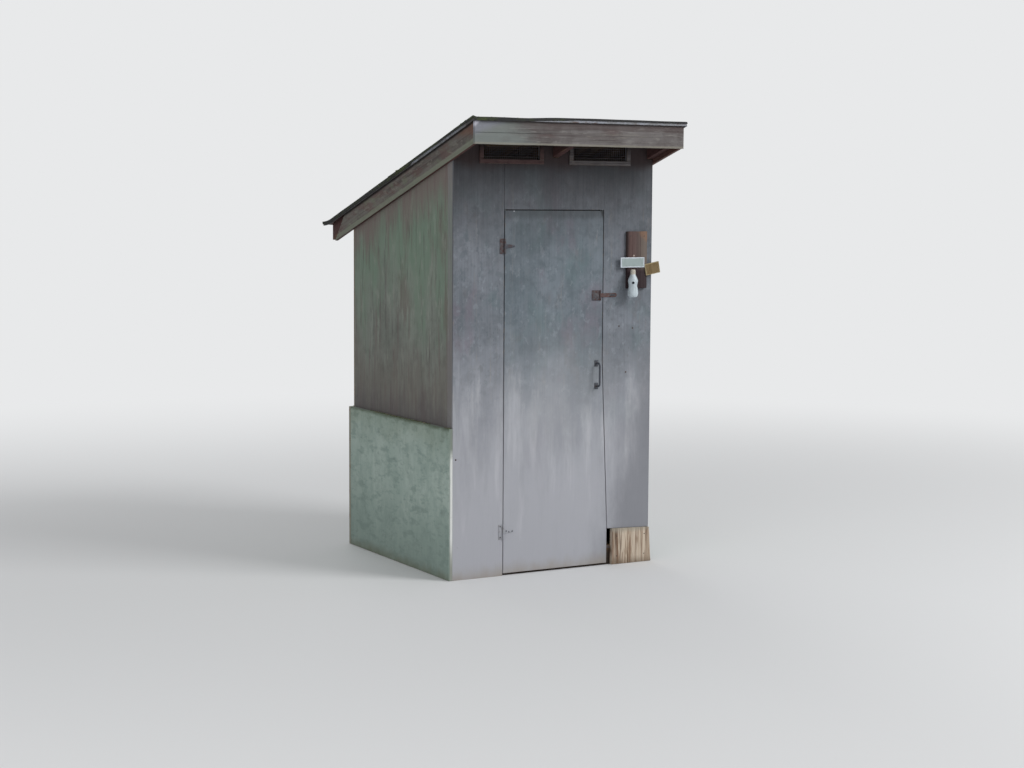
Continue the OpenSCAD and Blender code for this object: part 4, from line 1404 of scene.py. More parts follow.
@dataclass
class Sheets(Assembly):
    """Upright sheets with waves in them."""

    rounding: float
    border: float
    steps: tuple[float, float]
    wave: tuple[float, float]

    def sheet(self, node: str, name: str, slot: str, outward: Triple, finishes: Sequence[Finish],
              seed: float) -> None:
        """Builds one sheet.

        Args:
            node: Node that it stands for.
            name: Name of the piece.
            slot: Material slot of the record.
            outward: Direction of its painted face.
            finishes: Finishes of its face, its edges and its back.
            seed: Place in the wave pattern.
        """
        shape = Shape(node)
        shape.ease(self.rounding, self.border)
        across, out = (Axis.X, Axis.Y) if outward[1] else (Axis.Y, Axis.X)
        shape.cut(across.way, self.steps[0])
        shape.cut(Axis.Z.way, self.steps[1])
        shape.sway(out, *self.wave, seed)
        self.trim(shape)
        shape.choose(facing(outward))
        self.keep(shape, name, finishes, slot)

    def trim(self, shape: Shape) -> None:
        """Shapes a sheet further, where the assembly asks for it."""


@dataclass
class Walls(Sheets):
    """Plywood sheets of the four walls, with their nails."""

    rounding: float = 0.0009
    border: float = 0.006
    steps: tuple[float, float] = (0.09, 0.09)
    wave: tuple[float, float] = (0.0006, 2.4)
    rows: tuple[tuple[float, int], ...] = ((-0.578, 9), (-0.3225, 9), (0.3165, 4), (0.578, 8))
    row_top: float = 2.03
    row_step: float = 0.232
    over_door: tuple[tuple[float, float], ...] = ((-0.2, 1.992), (-0.02, 1.992), (0.17, 1.992))
    bare_nails: tuple[tuple[float, float], ...] = (
        (0.4045, 1.304), (0.492, 1.291), (0.450, 1.053), (-0.592, 0.635),
    )
    side_rows: tuple[tuple[float, int], ...] = ((-0.565, 7), (0.565, 5))
    girt: float = 0.826

    def build(self) -> None:
        """Builds the sheets and their nails."""
        for seed, part in enumerate(("left", "header", "right"), 1):
            finishes = [FRONT_PAINT, FRONT_EDGE, WALL_PLY]
            self.sheet(f"front_wall_{part}", f"front_sheet_{part}", "wall_paint", FRONT, finishes, seed)
        side = [SIDE_PAINT, SIDE_EDGE, WALL_PLY]
        self.sheet("side_wall_left", "side_sheet_left", "side_paint", LEFT, side, 4.0)
        self.sheet("side_wall_right", "side_sheet_right", "side_paint", RIGHT, side, 5.0)
        self.sheet("rear_wall", "rear_sheet", "side_paint", REAR, [SIDE_PAINT, REAR_EDGE, WALL_PLY], 6.0)
        self.nails()

    def nails(self) -> None:
        """Nails the sheets to the posts, the girts and the plates."""
        spots = [(x, self.row_top - self.row_step * step) for x, count in self.rows for step in range(count)]
        self.heads("front_sheet_nails", WALL_NAIL, FRONT_PAINT, on_front(-FACE, [*spots, *self.over_door]))
        self.heads("bare_front_nails", ROOF_NAIL, NAIL_IRON, on_front(-FACE, self.bare_nails))
        side = []
        for out in (LEFT, RIGHT):
            spots = [(y, 0.86 + 0.19 * step) for y, count in self.side_rows for step in range(count)]
            spots += [(-0.35 + 0.235 * step, self.girt) for step in range(4)]
            side += [(Vector((out[0] * FACE, y, z)), out) for y, z in spots]
        self.heads("side_sheet_nails", WALL_NAIL, SIDE_PAINT, side)
        spots = [(x, 0.87 + 0.2 * step) for x in (-0.57, 0.57) for step in range(5)]
        spots += [(-0.36 + 0.24 * step, z) for z in (0.83, 1.79) for step in range(4)]
        rear = [(Vector((x, FACE, z)), REAR) for x, z in spots]
        self.heads("rear_sheet_nails", WALL_NAIL, SIDE_PAINT, rear)


@dataclass
class Skirts(Sheets):
    """Thicker panels round the foot of the walls, the patch board, their nails and the moss on them."""

    rounding: float = 0.0018
    border: float = 0.007
    steps: tuple[float, float] = (0.06, 0.08)
    wave: tuple[float, float] = (0.0009, 2.8)
    top: float = 0.798
    nail_rows: tuple[float, ...] = (0.05, 0.40, 0.755)
    nail_end: float = 0.57
    right_start: float = -0.5695
    patch_left: float = 0.3675
    patch_top: float = 0.199
    patch_fall: float = 0.009

    def build(self) -> None:
        """Builds the panels, the patch board, the nails and the moss."""
        for side, out, edge, seed in (
            ("left", LEFT, SKIRT_EDGE, 1.5),
            ("right", RIGHT, RIGHT_SKIRT_EDGE, 2.5),
            ("rear", REAR, REAR_SKIRT_EDGE, 3.5),
        ):
            finishes = [SKIRT_PAINT, edge, WALL_PLY]
            self.sheet(f"skirt_{side}", f"skirt_panel_{side}", "skirt_paint", out, finishes, seed)
        self.patch()
        self.nails()
        self.moss()

    def trim(self, shape: Shape) -> None:
        """Gives a panel an uneven upper edge.

        Args:
            shape: Shape of the panel.
        """
        top = reach(shape.node, Axis.Z.way)[1]
        for vert in shape.bm.verts:
            if vert.co.z > top - 0.01:
                vert.co.z += 0.0022 * (noise.noise(vert.co * 9.0) - 0.5)

    def patch(self) -> None:
        """Builds the patch board with its waved, split face."""
        shape = Shape("patch_board")
        shape.ease(0.0022, 0.006)
        shape.cut(Axis.X.way, 0.012)
        shape.cut(Axis.Z.way, 0.03)
        front = reach("patch_board", Axis.Y.way)[0]
        for vert in shape.bm.verts:
            ridge = noise.noise(Vector((vert.co.x * 60.0, 0.0, vert.co.z * 3.0)))
            if vert.co.y < front + 0.001:
                vert.co.y += 0.0011 * ridge
            share = (vert.co.x - self.patch_left) / (FACE - self.patch_left)
            if vert.co.z > self.patch_top - self.patch_fall * share - 0.004:
                vert.co.z -= 0.0012 * abs(noise.noise(Vector((vert.co.x * 25.0, 4.0, 0.0))))
        self.keep(shape, "patch_plank", [PATCH_WOOD], "patch_wood")

    def nails(self) -> None:
        """Nails the panels and the patch board."""
        places = []
        for out, start in ((LEFT, -self.nail_end), (RIGHT, self.right_start + 0.024)):
            for z in self.nail_rows:
                for step in range(7):
                    y = start + (self.nail_end - start) * step / 6
                    places.append((Vector((out[0] * (FACE + PANEL), y, z)), out))
        for z in self.nail_rows:
            places += [(Vector((-self.nail_end + 0.19 * step, FACE + PANEL, z)), REAR) for step in range(7)]
        self.heads("skirt_nails", WALL_NAIL, SKIRT_PAINT, places)
        patch = [(x, z) for x in (0.400, 0.578) for z in (0.045, 0.155)]
        self.heads("patch_nails", BOARD_NAIL, NAIL_IRON, on_front(-INNER - PANEL, patch))

    def moss(self) -> None:
        """Grows cushions of moss on the panels' upper edges."""
        shape = Shape()
        middle = FACE + PANEL / 2
        for index in range(150):
            along = -0.6 + 1.2 * index / 149
            thick = noise.noise(Vector((along * 3.1, 2.0, 5.0))) + 0.30
            for sign in (-1.0, 1.0):
                if sign < 0 or along > self.right_start + 0.01:
                    place = Vector((sign * middle, along, self.top))
                    cushion(shape.bm, place, thick + 0.1 * sign, index + sign)
            cushion(shape.bm, Vector((along, middle, self.top)), thick, index + 0.5)
        self.keep(shape, "skirt_moss", [CUSHION_MOSS], "skirt_paint")


@dataclass
class Roof(Assembly):
    """Rafters, deck, roofing, drip edge, fascia and rake boards."""

    width: tuple[float, float] = (-0.6429, 0.6429)
    lap_back: float = 0.914
    curl: float = 0.018
    crack_z: float = 2.313
    crack_end: float = -0.136
    side_droop: float = -0.17
    sagged: float = 0.008
    drip_foot: float = 0.085
    fascia_foot: float = 0.08
    fascia_nails: tuple[float, ...] = (-0.59, -0.02, 0.02, 0.59)
    turned_down: float = 0.0033

    def build(self) -> None:
        """Builds the roof's pieces."""
        self.rafters()
        self.deck()
        self.roofing()
        self.drip()
        self.fascia()
        self.rakes()
        self.nails()
        self.moss()

    def rafters(self) -> None:
        """Builds the three rafters."""
        for index, part in enumerate(("left", "middle", "right")):
            shape = Shape(part + "_rafter")
            shape.ease(0.0025, 0.008)
            shape.cut(DOWN_SLOPE, 0.15)
            shape.sway(Axis.X, 0.0006, 1.9, 2.0 + index)
            self.keep(shape, f"{part}_rafter_timber", [RAFTER_WOOD], "roof_timber")

    def curled(self, place: Vector, rear: float) -> float:
        """Gives the lift of the roof's rear left corner, where the deck has curled up.

        Args:
            place: A point of the roof.
            rear: Place of the deck's rear edge along the slope.

        Returns:
            The lift square to the deck.
        """
        near = min(1.0, max(0.0, 1.0 - (rear - place.dot(DOWN_SLOPE)) / 0.13))
        aside = min(1.0, max(0.0, (-0.25 - place.x) / 0.38))
        return self.curl * near * near * aside * aside

    def sag(self, shape: Shape, above: float = 0.0) -> None:
        """Sinks the front edge of a layer of the roof, where it has sagged right of the left corner.

        Args:
            shape: Shape of the layer.
            above: Height over the rafters' undersides, square to the slope, below which nothing sinks.
        """
        start, left = reach("roofing", DOWN_SLOPE)[0], self.width[0]
        shape.cut(DOWN_SLOPE, 0.006, (start + 0.0015, start + 0.032))
        shape.cut(Axis.X.way, 0.0225, (left, left + 0.03))
        for vert in shape.bm.verts:
            if vert.co.dot(OFF_DECK) > UNDER_LINE + above:
                aside = fade(vert.co.x, left, -0.6205) * (1.0 - fade(vert.co.x, -0.39, -0.12))
                near = 1.0 - fade(vert.co.dot(DOWN_SLOPE) - start, 0.008, 0.026)
                vert.co -= OFF_DECK * self.sagged * aside * near

    def curl_up(self, shape: Shape, rear: float) -> None:
        """Cuts a layer of the roof near its rear end, and curls its left corner up.

        Args:
            shape: Shape of the layer.
            rear: Place of its rear end along the slope.
        """
        shape.cut(DOWN_SLOPE, 0.02, (rear - 0.16, rear + 0.02))
        for vert in shape.bm.verts:
            vert.co += OFF_DECK * self.curled(vert.co, rear)

    def deck(self) -> None:
        """Builds the plywood deck."""
        shape = Shape("roof_deck")
        shape.ease(0.001, 0.006)
        shape.cut(Axis.X.way, 0.04, self.width)
        shape.choose(facing(-OFF_DECK))
        self.sag(shape)
        self.curl_up(shape, reach("roof_deck", DOWN_SLOPE)[1])
        self.keep(shape, "deck_ply", [DECK_UNDER, DECK_EDGE, DECK_UNDER], "deck_board")

    def swell(self, place: Vector) -> float:
        """Gives the height of the roofing's ripples and of its lap over the rear sheet.

        Args:
            place: A point on the roofing.

        Returns:
            The lift square to the deck.
        """
        along = place.dot(DOWN_SLOPE)
        lap = reach("roofing", DOWN_SLOPE)[1] - self.lap_back
        lift = 0.0014 * max(0.0, noise.noise(Vector((place.x * 5.0, along * 4.0, 1.0))) + 0.5)
        if along < lap:
            lift += 0.003 * max(0.0, 1.0 - (lap - along) / 0.12)
        return lift

    def roofing(self) -> None:
        """Builds the rolled roofing, with its lap, its ripples and its drooping front edge."""
        shape = Shape("roofing")
        low, high = reach("roofing", DOWN_SLOPE)
        level = max(vert.co.dot(OFF_DECK) for vert in shape.bm.verts)
        shape.ease(0.0009)
        lap = high - self.lap_back
        shape.cut(DOWN_SLOPE, 0.045)
        shape.cut(Axis.X.way, 0.04, self.width)
        for line in (low + 0.006, lap - 0.0008, lap + 0.0008):
            shape.slice(DOWN_SLOPE, line)
        for vert in shape.bm.verts:
            along, rise = vert.co.dot(DOWN_SLOPE), vert.co.dot(OFF_DECK)
            lift = 0.0
            if rise > level - 0.0015 and along > low + 0.004:
                lift = self.swell(vert.co)
            elif along < low + 0.0035:
                left = 1.0 - fade(vert.co.x, -0.345, -0.315)
                share = left + 0.6 * (1.0 - left) * (1.0 - fade(vert.co.x, -0.16, -0.02))
                lift = -0.0028 if rise > level - 0.004 else -0.0015 - 0.007 * share
                lift += 0.0010 * noise.noise(Vector((vert.co.x * 14.0, 0.0, 8.0)))
            elif abs(vert.co.x) > self.width[1] - 0.0035 and rise < level - 0.004 and along < high - 0.01:
                lift = -0.0025 * abs(noise.noise(Vector((vert.co.x, along * 9.0, 3.0))))
                if vert.co.x < 0 and vert.co.y > self.side_droop:
                    lift -= 0.008
            vert.co += OFF_DECK * lift
        self.sag(shape)
        self.curl_up(shape, high - self.turned_down)
        self.keep(shape, "rolled_roofing", [ROOFING_FELT], "felt")

    def drip(self) -> None:
        """Builds the drip edge."""
        shape = Shape("drip_edge")
        shape.ease(0.0002, segments=1)
        shape.cut(Axis.X.way, 0.04, self.width)
        self.sag(shape, self.drip_foot)
        self.curl_up(shape, reach("drip_edge", DOWN_SLOPE)[1])
        self.keep(shape, "drip_strip", [DRIP_ZINC], "drip_metal")

    def fascia(self) -> None:
        """Builds the fascia with its long crack."""
        shape = Shape("front_fascia")
        shape.ease(0.0016, 0.006)
        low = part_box("front_fascia")[0]
        shape.cut(Axis.X.way, 0.03)
        for offset in (-0.0016, 0.0, 0.0016):
            shape.slice(Axis.Z.way, self.crack_z + offset)
        for vert in shape.bm.verts:
            near = abs(vert.co.z - self.crack_z)
            wander = 0.0012 * noise.noise(Vector((vert.co.x * 8.0, 0.0, 0.0)))
            if near < 0.0018:
                vert.co.z += wander
            if near < 0.0004 and vert.co.y < low.y + 0.002 and vert.co.x < self.crack_end:
                vert.co.y += 0.0035 * min(1.0, (self.crack_end - vert.co.x) / 0.12)
            if abs(vert.co.z - low.z) < 0.002:
                vert.co.z += 0.0012 * noise.noise(Vector((vert.co.x * 6.0, 3.0, 0.0)))
        self.sag(shape, self.fascia_foot)
        shape.choose(facing(FRONT))
        self.keep(shape, "fascia_plank", [FASCIA_PAINT, FASCIA_PAINT, RED_PAINT], "roof_board")

    def rakes(self) -> None:
        """Builds the two rake boards."""
        for side, out in (("left", LEFT), ("right", RIGHT)):
            shape = Shape("rake_board_" + side)
            shape.ease(0.0018, 0.006)
            shape.cut(DOWN_SLOPE, 0.05)
            for vert in shape.bm.verts:
                wave = noise.noise(Vector((out[0], vert.co.dot(DOWN_SLOPE) * 5.0, 0.0)))
                vert.co += OFF_DECK * 0.0010 * wave
            shape.choose(facing(out))
            self.keep(shape, f"rake_plank_{side}", [RAKE_PAINT, RED_PAINT, RED_PAINT], "roof_board")

    def nails(self) -> None:
        """Nails the fascia, the rake boards and the roofing."""
        spots = [(x, z) for x in self.fascia_nails for z in (2.282, 2.345)]
        self.heads("fascia_nails", BOARD_NAIL, FASCIA_PAINT, on_front(-0.8735, spots))
        spots = [(-0.82 + 0.29 * step, above) for step in range(6) for above in (0.006, 0.062)]
        places = [
            (Vector((out[0] * (FACE + 0.019), y, rafter_under(y) + above / math.cos(PITCH))), out)
            for out in (LEFT, RIGHT) for y, above in spots
        ]
        self.heads("rake_nails", BOARD_NAIL, RAKE_PAINT, places)
        low, high = reach("roofing", DOWN_SLOPE)
        lines = (low + 0.03, high - self.lap_back - 0.02, high - 0.03)
        spots = [(-0.6 + 0.075 * index, along) for index in range(17) for along in lines]
        spots += [(x, low + 0.12 + 0.115 * index) for index in range(16) for x in (-0.618, 0.618)]
        places = [(self.on_roofing(x, along), tuple(OFF_DECK)) for x, along in spots]
        self.heads("roofing_nails", ROOF_NAIL, NAIL_IRON, places)

    def on_roofing(self, x: float, along: float) -> Vector:
        """Gives a point on top of the finished roofing.

        Args:
            x: Place across the roof.
            along: Place along the slope.

        Returns:
            The point.
        """
        level = reach("roofing", OFF_DECK)[1]
        place = Vector((x, 0.0, 0.0)) + DOWN_SLOPE * along + OFF_DECK * level
        rear = reach("roofing", DOWN_SLOPE)[1] - self.turned_down
        return place + OFF_DECK * (self.swell(place) + self.curled(place, rear))

    def moss(self) -> None:
        """Grows moss along the roofing's edges."""
        low, high = reach("roofing", DOWN_SLOPE)
        shape = Shape()
        for index in range(170):
            along = low + 0.09 + (high - low - 0.11) * index / 169
            for sign in (-1.0, 1.0):
                thick = noise.noise(Vector((along * 4.0, sign * 3.0, 7.0))) + (0.12 if sign < 0 else 0.03)
                cushion(shape.bm, self.on_roofing(sign * 0.632, along), thick, index * 1.7 + sign)
        for index in range(60):
            thick = noise.noise(Vector((index * 0.35, 9.0, 1.0))) + 0.15
            cushion(shape.bm, self.on_roofing(-0.6 + 1.2 * index / 59, high - 0.02), thick, index * 2.3)
        self.keep(shape, "roof_moss", [CUSHION_MOSS], "felt")


@dataclass
class Vents(Assembly):
    """Trim strips round the two vents, with wire cloth behind them."""

    inner: float = 0.102
    width: float = 0.336
    low: float = 2.189
    height: float = 0.078
    trim: float = 0.023
    depth: float = 0.010
    joint: float = 0.0004
    mesh_step: float = 0.0127
    selvage: float = 0.002
    wire: float = 0.00055

    def build(self) -> None:
        """Builds both vents' trim and cloth."""
        left = self.strips("left", -self.inner - self.width, VENT_PAINT_LEFT)
        self.cloth("left", -self.inner - self.width)
        self.strips("right", self.inner, VENT_PAINT_RIGHT)
        self.cloth("right", self.inner)
        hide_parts("vent_frames")

    def strips(self, side: str, start: float, finish: PaintFinish) -> bpy.types.Object:
        """Builds the four strips round one vent.

        Args:
            side: Name of the vent's side.
            start: Left side of the vent's hole.
            finish: Paint of the strips.

        Returns:
            The piece.
        """
        end, top = start + self.width, self.low + self.height
        left, right, low, high = start - self.trim, end + self.trim, self.low + self.joint, top - self.joint
        runs = (
            (left, self.low - self.trim, right, self.low), (left, top, right, top + self.trim),
            (left, low, start, high), (end, low, right, high),
        )
        shape = Shape()
        for index, (x0, z0, x1, z1) in enumerate(runs):
            part = Shape()
            middle = ((x0 + x1) / 2, -FACE - self.depth / 2, (z0 + z1) / 2)
            bmesh.ops.create_cube(part.bm, size=1.0)
            bmesh.ops.scale(part.bm, vec=(x1 - x0, self.depth, z1 - z0), verts=part.bm.verts[:])
            bmesh.ops.translate(part.bm, vec=middle, verts=part.bm.verts[:])
            part.ease(0.0016, 0.003)
            part.cut(Axis.X.way, 0.03, (x0, x1))
            part.sway(Axis.Y, 0.0008, 9.0, index + start)
            part.sway(Axis.Z, 0.0007, 5.0, index - start)
            strip = part.mesh("strip")
            shape.bm.from_mesh(strip)
            bpy.data.meshes.remove(strip)
        return self.keep(shape, f"vent_trim_{side}", [finish], "roof_board")

    def cloth(self, side: str, start: float) -> None:
        """Builds the wire cloth inside one vent.

        Args:
            side: Name of the vent's side.
            start: Left side of the vent's hole.
        """
        shape = Shape()
        front, top, edge = -FACE + 0.0045, self.low + self.height, self.selvage
        back, end = front + 2 * self.wire, start + self.width
        count, rows = int(self.width / self.mesh_step), int(self.height / self.mesh_step)
        for index in range(count + 1):
            x = start + edge + index * (self.width - 2 * edge) / count
            rod(shape.bm, Vector((x, front, self.low)), Vector((x, front, top)), self.wire, 6)
        for index in range(rows + 1):
            z = self.low + edge + index * (self.height - 2 * edge) / rows
            rod(shape.bm, Vector((start, back, z)), Vector((end, back, z)), self.wire, 6)
        obj = shape.obj(f"vent_cloth_{side}", WIRE_ZINC)
        round_off(obj, 32.0)
        self.hand_in(obj, Body.BUILDING, "dark_iron")


@dataclass
class Door(Assembly):
    """Door leaf, its ledges and their nails."""

    ledges: tuple[float, ...] = (0.235, 0.990, 1.745)
    across: tuple[float, ...] = (-0.2, -0.07, 0.06, 0.17)
    from_middle: float = 0.024
    pale_nail: tuple[float, float] = (-0.2528, 1.9211)

    def build(self) -> None:
        """Builds the leaf, the ledges and the nails."""
        shape = Shape("door_panel")
        shape.ease(0.001, 0.006)
        shape.cut(Axis.X.way, 0.09)
        shape.cut(Axis.Z.way, 0.09)
        shape.choose(facing(FRONT))
        self.keep(shape, "door_leaf", [DOOR_PAINT, DOOR_EDGE, WALL_PLY], "wall_paint", Body.DOOR)
        shape = Shape("door_ledges")
        shape.ease(0.002, 0.007)
        shape.cut(Axis.X.way, 0.12)
        shape.sway(Axis.Z, 0.0010, 2.0, 5.0)
        self.keep(shape, "door_ledge_boards", [TIMBER[Axis.X]], "framing", Body.DOOR)
        rises = (-self.from_middle, self.from_middle)
        spots = [(x, z + rise) for z in self.ledges for x in self.across for rise in rises]
        self.heads("door_nails", BOARD_NAIL, DOOR_PAINT, on_front(DOOR_FACE, spots), Body.DOOR)
        self.heads("pale_door_nail", BOARD_NAIL, PALE_IRON, on_front(DOOR_FACE, [self.pale_nail]), Body.DOOR)


@dataclass
class Ironwork(Assembly):
    """Hinges, hasp, staple and pull handle, with their screws."""

    hinges: tuple[float, ...] = (0.235, 1.739)
    covered_below: float = 0.8
    pin_x: float = -0.3085
    plate: float = 0.0025
    slimness: float = 0.28
    strap_screws: tuple[tuple[float, float], ...] = ((0.018, 0.0030), (0.034, -0.0022), (0.054, 0.0))
    hasp_x: float = 0.281
    hasp_z: float = 1.473
    handle_x: float = 0.262
    handle_ends: tuple[float, ...] = (0.985, 1.108)
    foot: float = 0.003

    def part(self, node: str, name: str, body: Body, slot: str, finish: IronFinish, rounding: float) -> None:
        """Builds one iron part with softened edges.

        Args:
            node: Node that it stands for.
            name: Name of the piece.
            body: Body that it moves with.
            slot: Material slot of the record.
            finish: Its finish.
            rounding: Width of the softened edges.
        """
        shape = Shape(node)
        shape.ease(rounding, angle=40.0)
        if "hinge" in node:
            self.slim(shape)
            shape.choose(lambda normal, middle: int(middle.z < self.covered_below))
        obj = shape.obj(name, finish, PALE_IRON)
        round_off(obj, 40.0)
        self.hand_in(obj, body, slot, node)

    def slim(self, shape: Shape) -> None:
        """Slims the hinges' straps past their knuckles.

        Args:
            shape: Shape of the hinges.
        """
        for vert in shape.bm.verts:
            middle = min(self.hinges, key=lambda z: abs(vert.co.z - z))
            share = self.slimness * fade(vert.co.x, self.pin_x + 0.006, self.pin_x + 0.016)
            vert.co.z += (middle - vert.co.z) * share

    def build(self) -> None:
        """Builds the iron parts and their screws."""
        self.part("wall_hinge_leaves", "hinge_leaves", Body.BUILDING, "rusty_iron", PAINTED_IRON, 0.0004)
        self.part("door_hinge_straps", "hinge_straps", Body.DOOR, "rusty_iron", RUSTY_IRON, 0.0004)
        self.part("hasp_leaf", "hasp_plate", Body.DOOR, "rusty_iron", PAINTED_IRON, 0.0004)
        self.part("hasp_flap", "hasp_strap", Body.FLAP, "rusty_iron", HASP_IRON, 0.0003)
        self.part("hasp_staple", "staple", Body.BUILDING, "rusty_iron", HASP_IRON, 0.0002)
        self.part("door_handle", "pull_handle", Body.DOOR, "dark_iron", DARK_IRON, 0.0005)
        on_door = DOOR_FACE - self.plate
        spots = [(self.pin_x - 0.018, z + rise) for z in self.hinges for rise in (-0.029, 0.029)]
        self.heads("hinge_leaf_screws", HINGE_SCREW, PAINTED_IRON, on_front(-FACE - self.plate, spots))
        spots = [(self.pin_x + along, z + rise) for z in self.hinges for along, rise in self.strap_screws]
        self.heads("hinge_strap_screws", HINGE_SCREW, RUSTY_IRON, on_front(on_door, spots), Body.DOOR)
        spots = [
            (self.hasp_x + along, self.hasp_z + rise)
            for along in (-0.018, -0.042) for rise in (-0.017, 0.017)
        ]
        self.heads("hasp_screws", HINGE_SCREW, PAINTED_IRON, on_front(on_door, spots), Body.DOOR)
        spots = [(self.handle_x, z + rise) for z in self.handle_ends for rise in (-0.0115, 0.0115)]
        places = on_front(DOOR_FACE - self.foot, spots)
        self.heads("handle_screws", SMALL_SCREW, DARK_IRON, places, Body.DOOR, "dark_iron")


@dataclass
class Signs(Assembly):
    """Backboard, two bare signs, the bottle ornament and their nails."""

    board_left: float = 0.442
    board_width: float = 0.126
    board_foot: float = 1.508
    board_top: float = 1.815
    board_face: float = -0.6285
    sign_face: float = -0.6365
    bottle: Triple = (0.460, -0.6568, 1.462)
    hole_turn: float = 29.0
    hole_up: float = 0.078
    nail_up: float = 0.135
    profile: tuple[tuple[float, float], ...] = (
        (0.0, 0.0), (0.0175, 0.0), (0.0228, 0.0022), (0.0262, 0.008), (0.0280, 0.018), (0.0280, 0.030),
        (0.0268, 0.039), (0.0250, 0.047), (0.0234, 0.055), (0.0227, 0.062), (0.0233, 0.069), (0.0250, 0.076),
        (0.0265, 0.083), (0.0268, 0.089), (0.0254, 0.096), (0.0224, 0.104), (0.0184, 0.1115), (0.0153, 0.117),
        (0.0137, 0.122), (0.0133, 0.130), (0.0134, 0.1350), (0.0146, 0.1360), (0.0146, 0.1400),
        (0.0134, 0.1410), (0.0130, 0.1450), (0.0112, 0.1478), (0.0092, 0.149), (0.0, 0.149),
    )

    def build(self) -> None:
        """Builds the boards, the bottle and the nails."""
        shape = Shape("sign_backboard")
        shape.ease(0.0025, 0.006)
        shape.cut(Axis.X.way, 0.009, (self.board_left, self.board_left + self.board_width))
        shape.cut(Axis.Z.way, 0.03, (self.board_foot, self.board_top))
        for vert in shape.bm.verts:
            if vert.co.y < self.board_face + 0.001:
                vert.co.y += 0.0009 * noise.noise(Vector((vert.co.x * 70.0, 0.0, vert.co.z * 4.0)))
            if vert.co.z > self.board_top - 0.004:
                vert.co.z += 0.002 * noise.noise(Vector((vert.co.x * 30.0, 1.0, 0.0)))
        self.keep(shape, "sign_backing_board", [BACKBOARD_WOOD], "backboard_wood")
        for node, finish, slot in (
            ("level_sign", SIGN_WHITE, "sign_white"), ("tilted_sign", SIGN_TAN, "sign_tan"),
        ):
            shape = Shape(node)
            shape.ease(0.0012, 0.006)
            shape.cut(Axis.X.way, 0.015)
            shape.sway(Axis.Y, 0.0005, 12.0, 7.0)
            self.keep(shape, node + "_board", [finish], slot)
        self.ornament()
        self.nails()

    def ornament(self) -> None:
        """Turns the bottle on its axis, and bores its round hole and the hole for its nail."""
        shape = Shape()
        bm = shape.bm
        x, y, foot = self.bottle
        axis = Vector((x, y, 0.0))
        verts = [bm.verts.new(axis + Vector((radius, 0.0, foot + z))) for radius, z in self.profile]
        edges = [bm.edges.new(pair) for pair in zip(verts, verts[1:])]
        bmesh.ops.spin(
            bm, geom=verts + edges, cent=axis, axis=(0, 0, 1), angle=math.tau, steps=56, use_merge=True
        )
        bmesh.ops.remove_doubles(bm, verts=bm.verts[:], dist=1e-5)
        bmesh.ops.recalc_face_normals(bm, faces=bm.faces[:])
        obj = shape.obj("bottle", BOTTLE_WHITE, BOTTLE_HOLE_SHADE)
        turn = math.radians(self.hole_turn)
        out = Vector((-math.sin(turn), -math.cos(turn), 0.0))
        axis.z = foot + self.hole_up
        self.bore(obj, 0.007, axis + out * 0.016, axis + out * 0.037)
        # Faces inside the round hole take the hole's painted shade
        for polygon in obj.data.polygons:
            aside = Vector(polygon.center) - axis
            deep = aside.dot(out)
            if 0.0 < deep < 0.0218 and (aside - out * deep).length < 0.0073:
                polygon.material_index = 1
        axis.z = foot + self.nail_up
        self.bore(obj, 0.0021, axis - Vector((0.0, 0.0001, 0.0)), Vector((x, self.board_face, axis.z)))
        round_off(obj, 38.0)
        self.hand_in(obj, Body.BUILDING, "bottle_white", "bottle_ornament")

    def bore(self, obj: bpy.types.Object, radius: float, start: Vector, end: Vector) -> None:
        """Bores a straight hole in an object.

        Args:
            obj: Object to bore.
            radius: Radius of the hole.
            start: Middle of the hole's one end.
            end: Middle of its other end.
        """
        shape = Shape()
        rod(shape.bm, start, end, radius, 32)
        drill = shape.obj("drill")
        cut = obj.modifiers.new("bore", "BOOLEAN")
        cut.operation = "DIFFERENCE"
        cut.object = drill
        cut.solver = "EXACT"
        bored = bpy.data.meshes.new_from_object(obj.evaluated_get(bpy.context.evaluated_depsgraph_get()))
        obj.modifiers.clear()
        obj.data = bored
        bpy.data.objects.remove(drill)

    def nails(self) -> None:
        """Builds the bottle's nail, and fixes the boards."""
        shape = Shape("ornament_nail")
        shape.ease(0.0004, segments=1, angle=40.0)
        obj = shape.obj("bottle_nail", NAIL_IRON)
        round_off(obj, 40.0)
        self.hand_in(obj, Body.BUILDING, "dark_iron", "ornament_nail")
        for name, kind, finish, depth, spots in (
            ("backboard_nails", BOARD_NAIL, NAIL_IRON, self.board_face, ((0.462, 1.79), (0.548, 1.79))),
            ("level_sign_nails", BOARD_NAIL, SIGN_WHITE, self.sign_face, ((0.408, 1.648), (0.534, 1.648))),
            ("tilted_sign_nails", BOARD_NAIL, SIGN_TAN, self.sign_face, ((0.566, 1.609), (0.633, 1.621))),
            ("sign_stud", PALE_STUD, STUD_PAINT, self.board_face, ((0.481, 1.6835),)),
        ):
            self.heads(name, kind, finish, on_front(depth, spots))


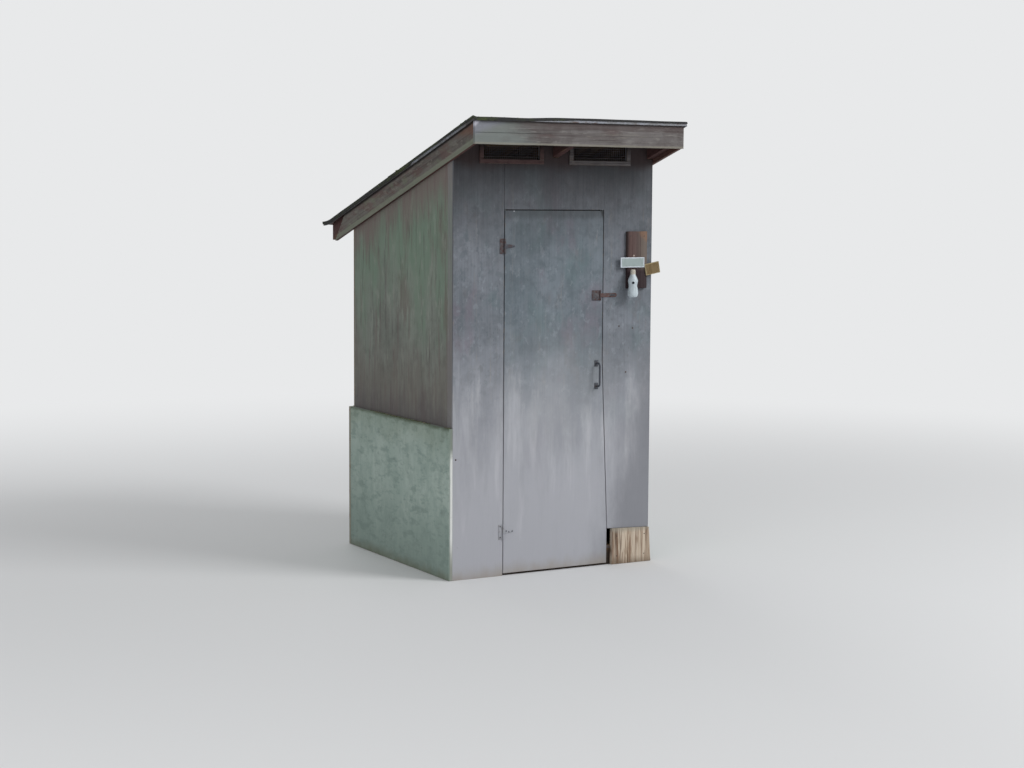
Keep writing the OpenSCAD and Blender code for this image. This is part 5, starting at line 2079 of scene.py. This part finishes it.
@dataclass
class Studio:
    """Camera, soft lamps and a pale floor."""

    eye: Triple = (-5.077, -9.123, 1.959)
    yaw: float = 0.515
    pitch: float = -0.096
    roll: float = 0.006
    sensor: float = 36.0
    lens: float = 1870.551 / 1024 * 36
    backdrop: Colour = (232, 233, 234)

    def build(self) -> None:
        """Sets the camera, the lamps, the world and the floor."""
        self.camera()
        self.world()
        self.floor()
        self.lamp("key", (5.5, -7.0, 6.5), 4.2, 560.0)
        self.lamp("fill", (-7.5, -5.0, 4.0), 5.0, 120.0)
        self.lamp("back", (1.0, 8.0, 5.5), 5.0, 160.0)
        bpy.context.scene.view_settings.view_transform = "Standard"

    def camera(self) -> None:
        """Places the camera where the view was taken from."""
        level = Vector((math.sin(self.yaw), math.cos(self.yaw), 0.0))
        ahead = level * math.cos(self.pitch) + Vector((0.0, 0.0, math.sin(self.pitch)))
        side = Vector((math.cos(self.yaw), -math.sin(self.yaw), 0.0))
        above = side.cross(ahead)
        right = side * math.cos(self.roll) + above * math.sin(self.roll)
        up = above * math.cos(self.roll) - side * math.sin(self.roll)
        data = bpy.data.cameras.new("camera")
        data.sensor_width = self.sensor
        data.sensor_fit = "HORIZONTAL"
        data.lens = self.lens
        data.clip_end = 200.0
        camera = bpy.data.objects.new("camera", data)
        columns = Matrix((right, up, -ahead)).transposed().to_4x4()
        camera.matrix_world = Matrix.Translation(self.eye) @ columns
        bpy.context.scene.collection.objects.link(camera)
        bpy.context.scene.camera = camera

    def lamp(self, name: str, place: Triple, size: float, power: float) -> None:
        """Adds a soft square lamp that faces the building.

        Args:
            name: Name of the lamp.
            place: Its place.
            size: Side of its square.
            power: Power in watts.
        """
        data = bpy.data.lights.new(name, "AREA")
        data.shape = "SQUARE"
        data.size = size
        data.energy = power
        lamp = bpy.data.objects.new(name, data)
        aim = Vector((0.0, 0.0, 1.1)) - Vector(place)
        lamp.matrix_world = Matrix.Translation(place) @ aim.to_track_quat("-Z", "Y").to_matrix().to_4x4()
        bpy.context.scene.collection.objects.link(lamp)

    def world(self) -> None:
        """Sets a plain pale surround with weak light."""
        world = bpy.data.worlds.new("surround")
        world.use_nodes = True
        bpy.context.scene.world = world
        tree = Tree(world.node_tree)
        background = world.node_tree.nodes["Background"]
        tree.feed(background.inputs["Color"], self.backdrop)
        tree.feed(background.inputs["Strength"], tree.span(seen(tree), 0.0, 1.0, 0.5, 1.0))

    def floor(self) -> None:
        """Lays a round floor that goes over into the surround."""
        shape = Shape()
        bmesh.ops.create_circle(shape.bm, cap_ends=True, segments=96, radius=60.0)
        floor = shape.obj("studio_floor", StageFinish("studio_floor", (222, 223, 224), self.backdrop))
        floor.data.transform(Matrix.Translation((0.0, 0.0, -0.0005)))


def main() -> None:
    """Builds the sub-assemblies in order."""
    logging.basicConfig(level=logging.INFO, format="%(name)s: %(message)s")
    noise.seed_set(NOISE_SEED)
    Studio().build()
    for assembly in (FloorAndFrame(), Walls(), Skirts(), Roof(), Vents(), Door(), Ironwork(), Signs()):
        assembly.build()


if __name__ == "__main__":
    main()
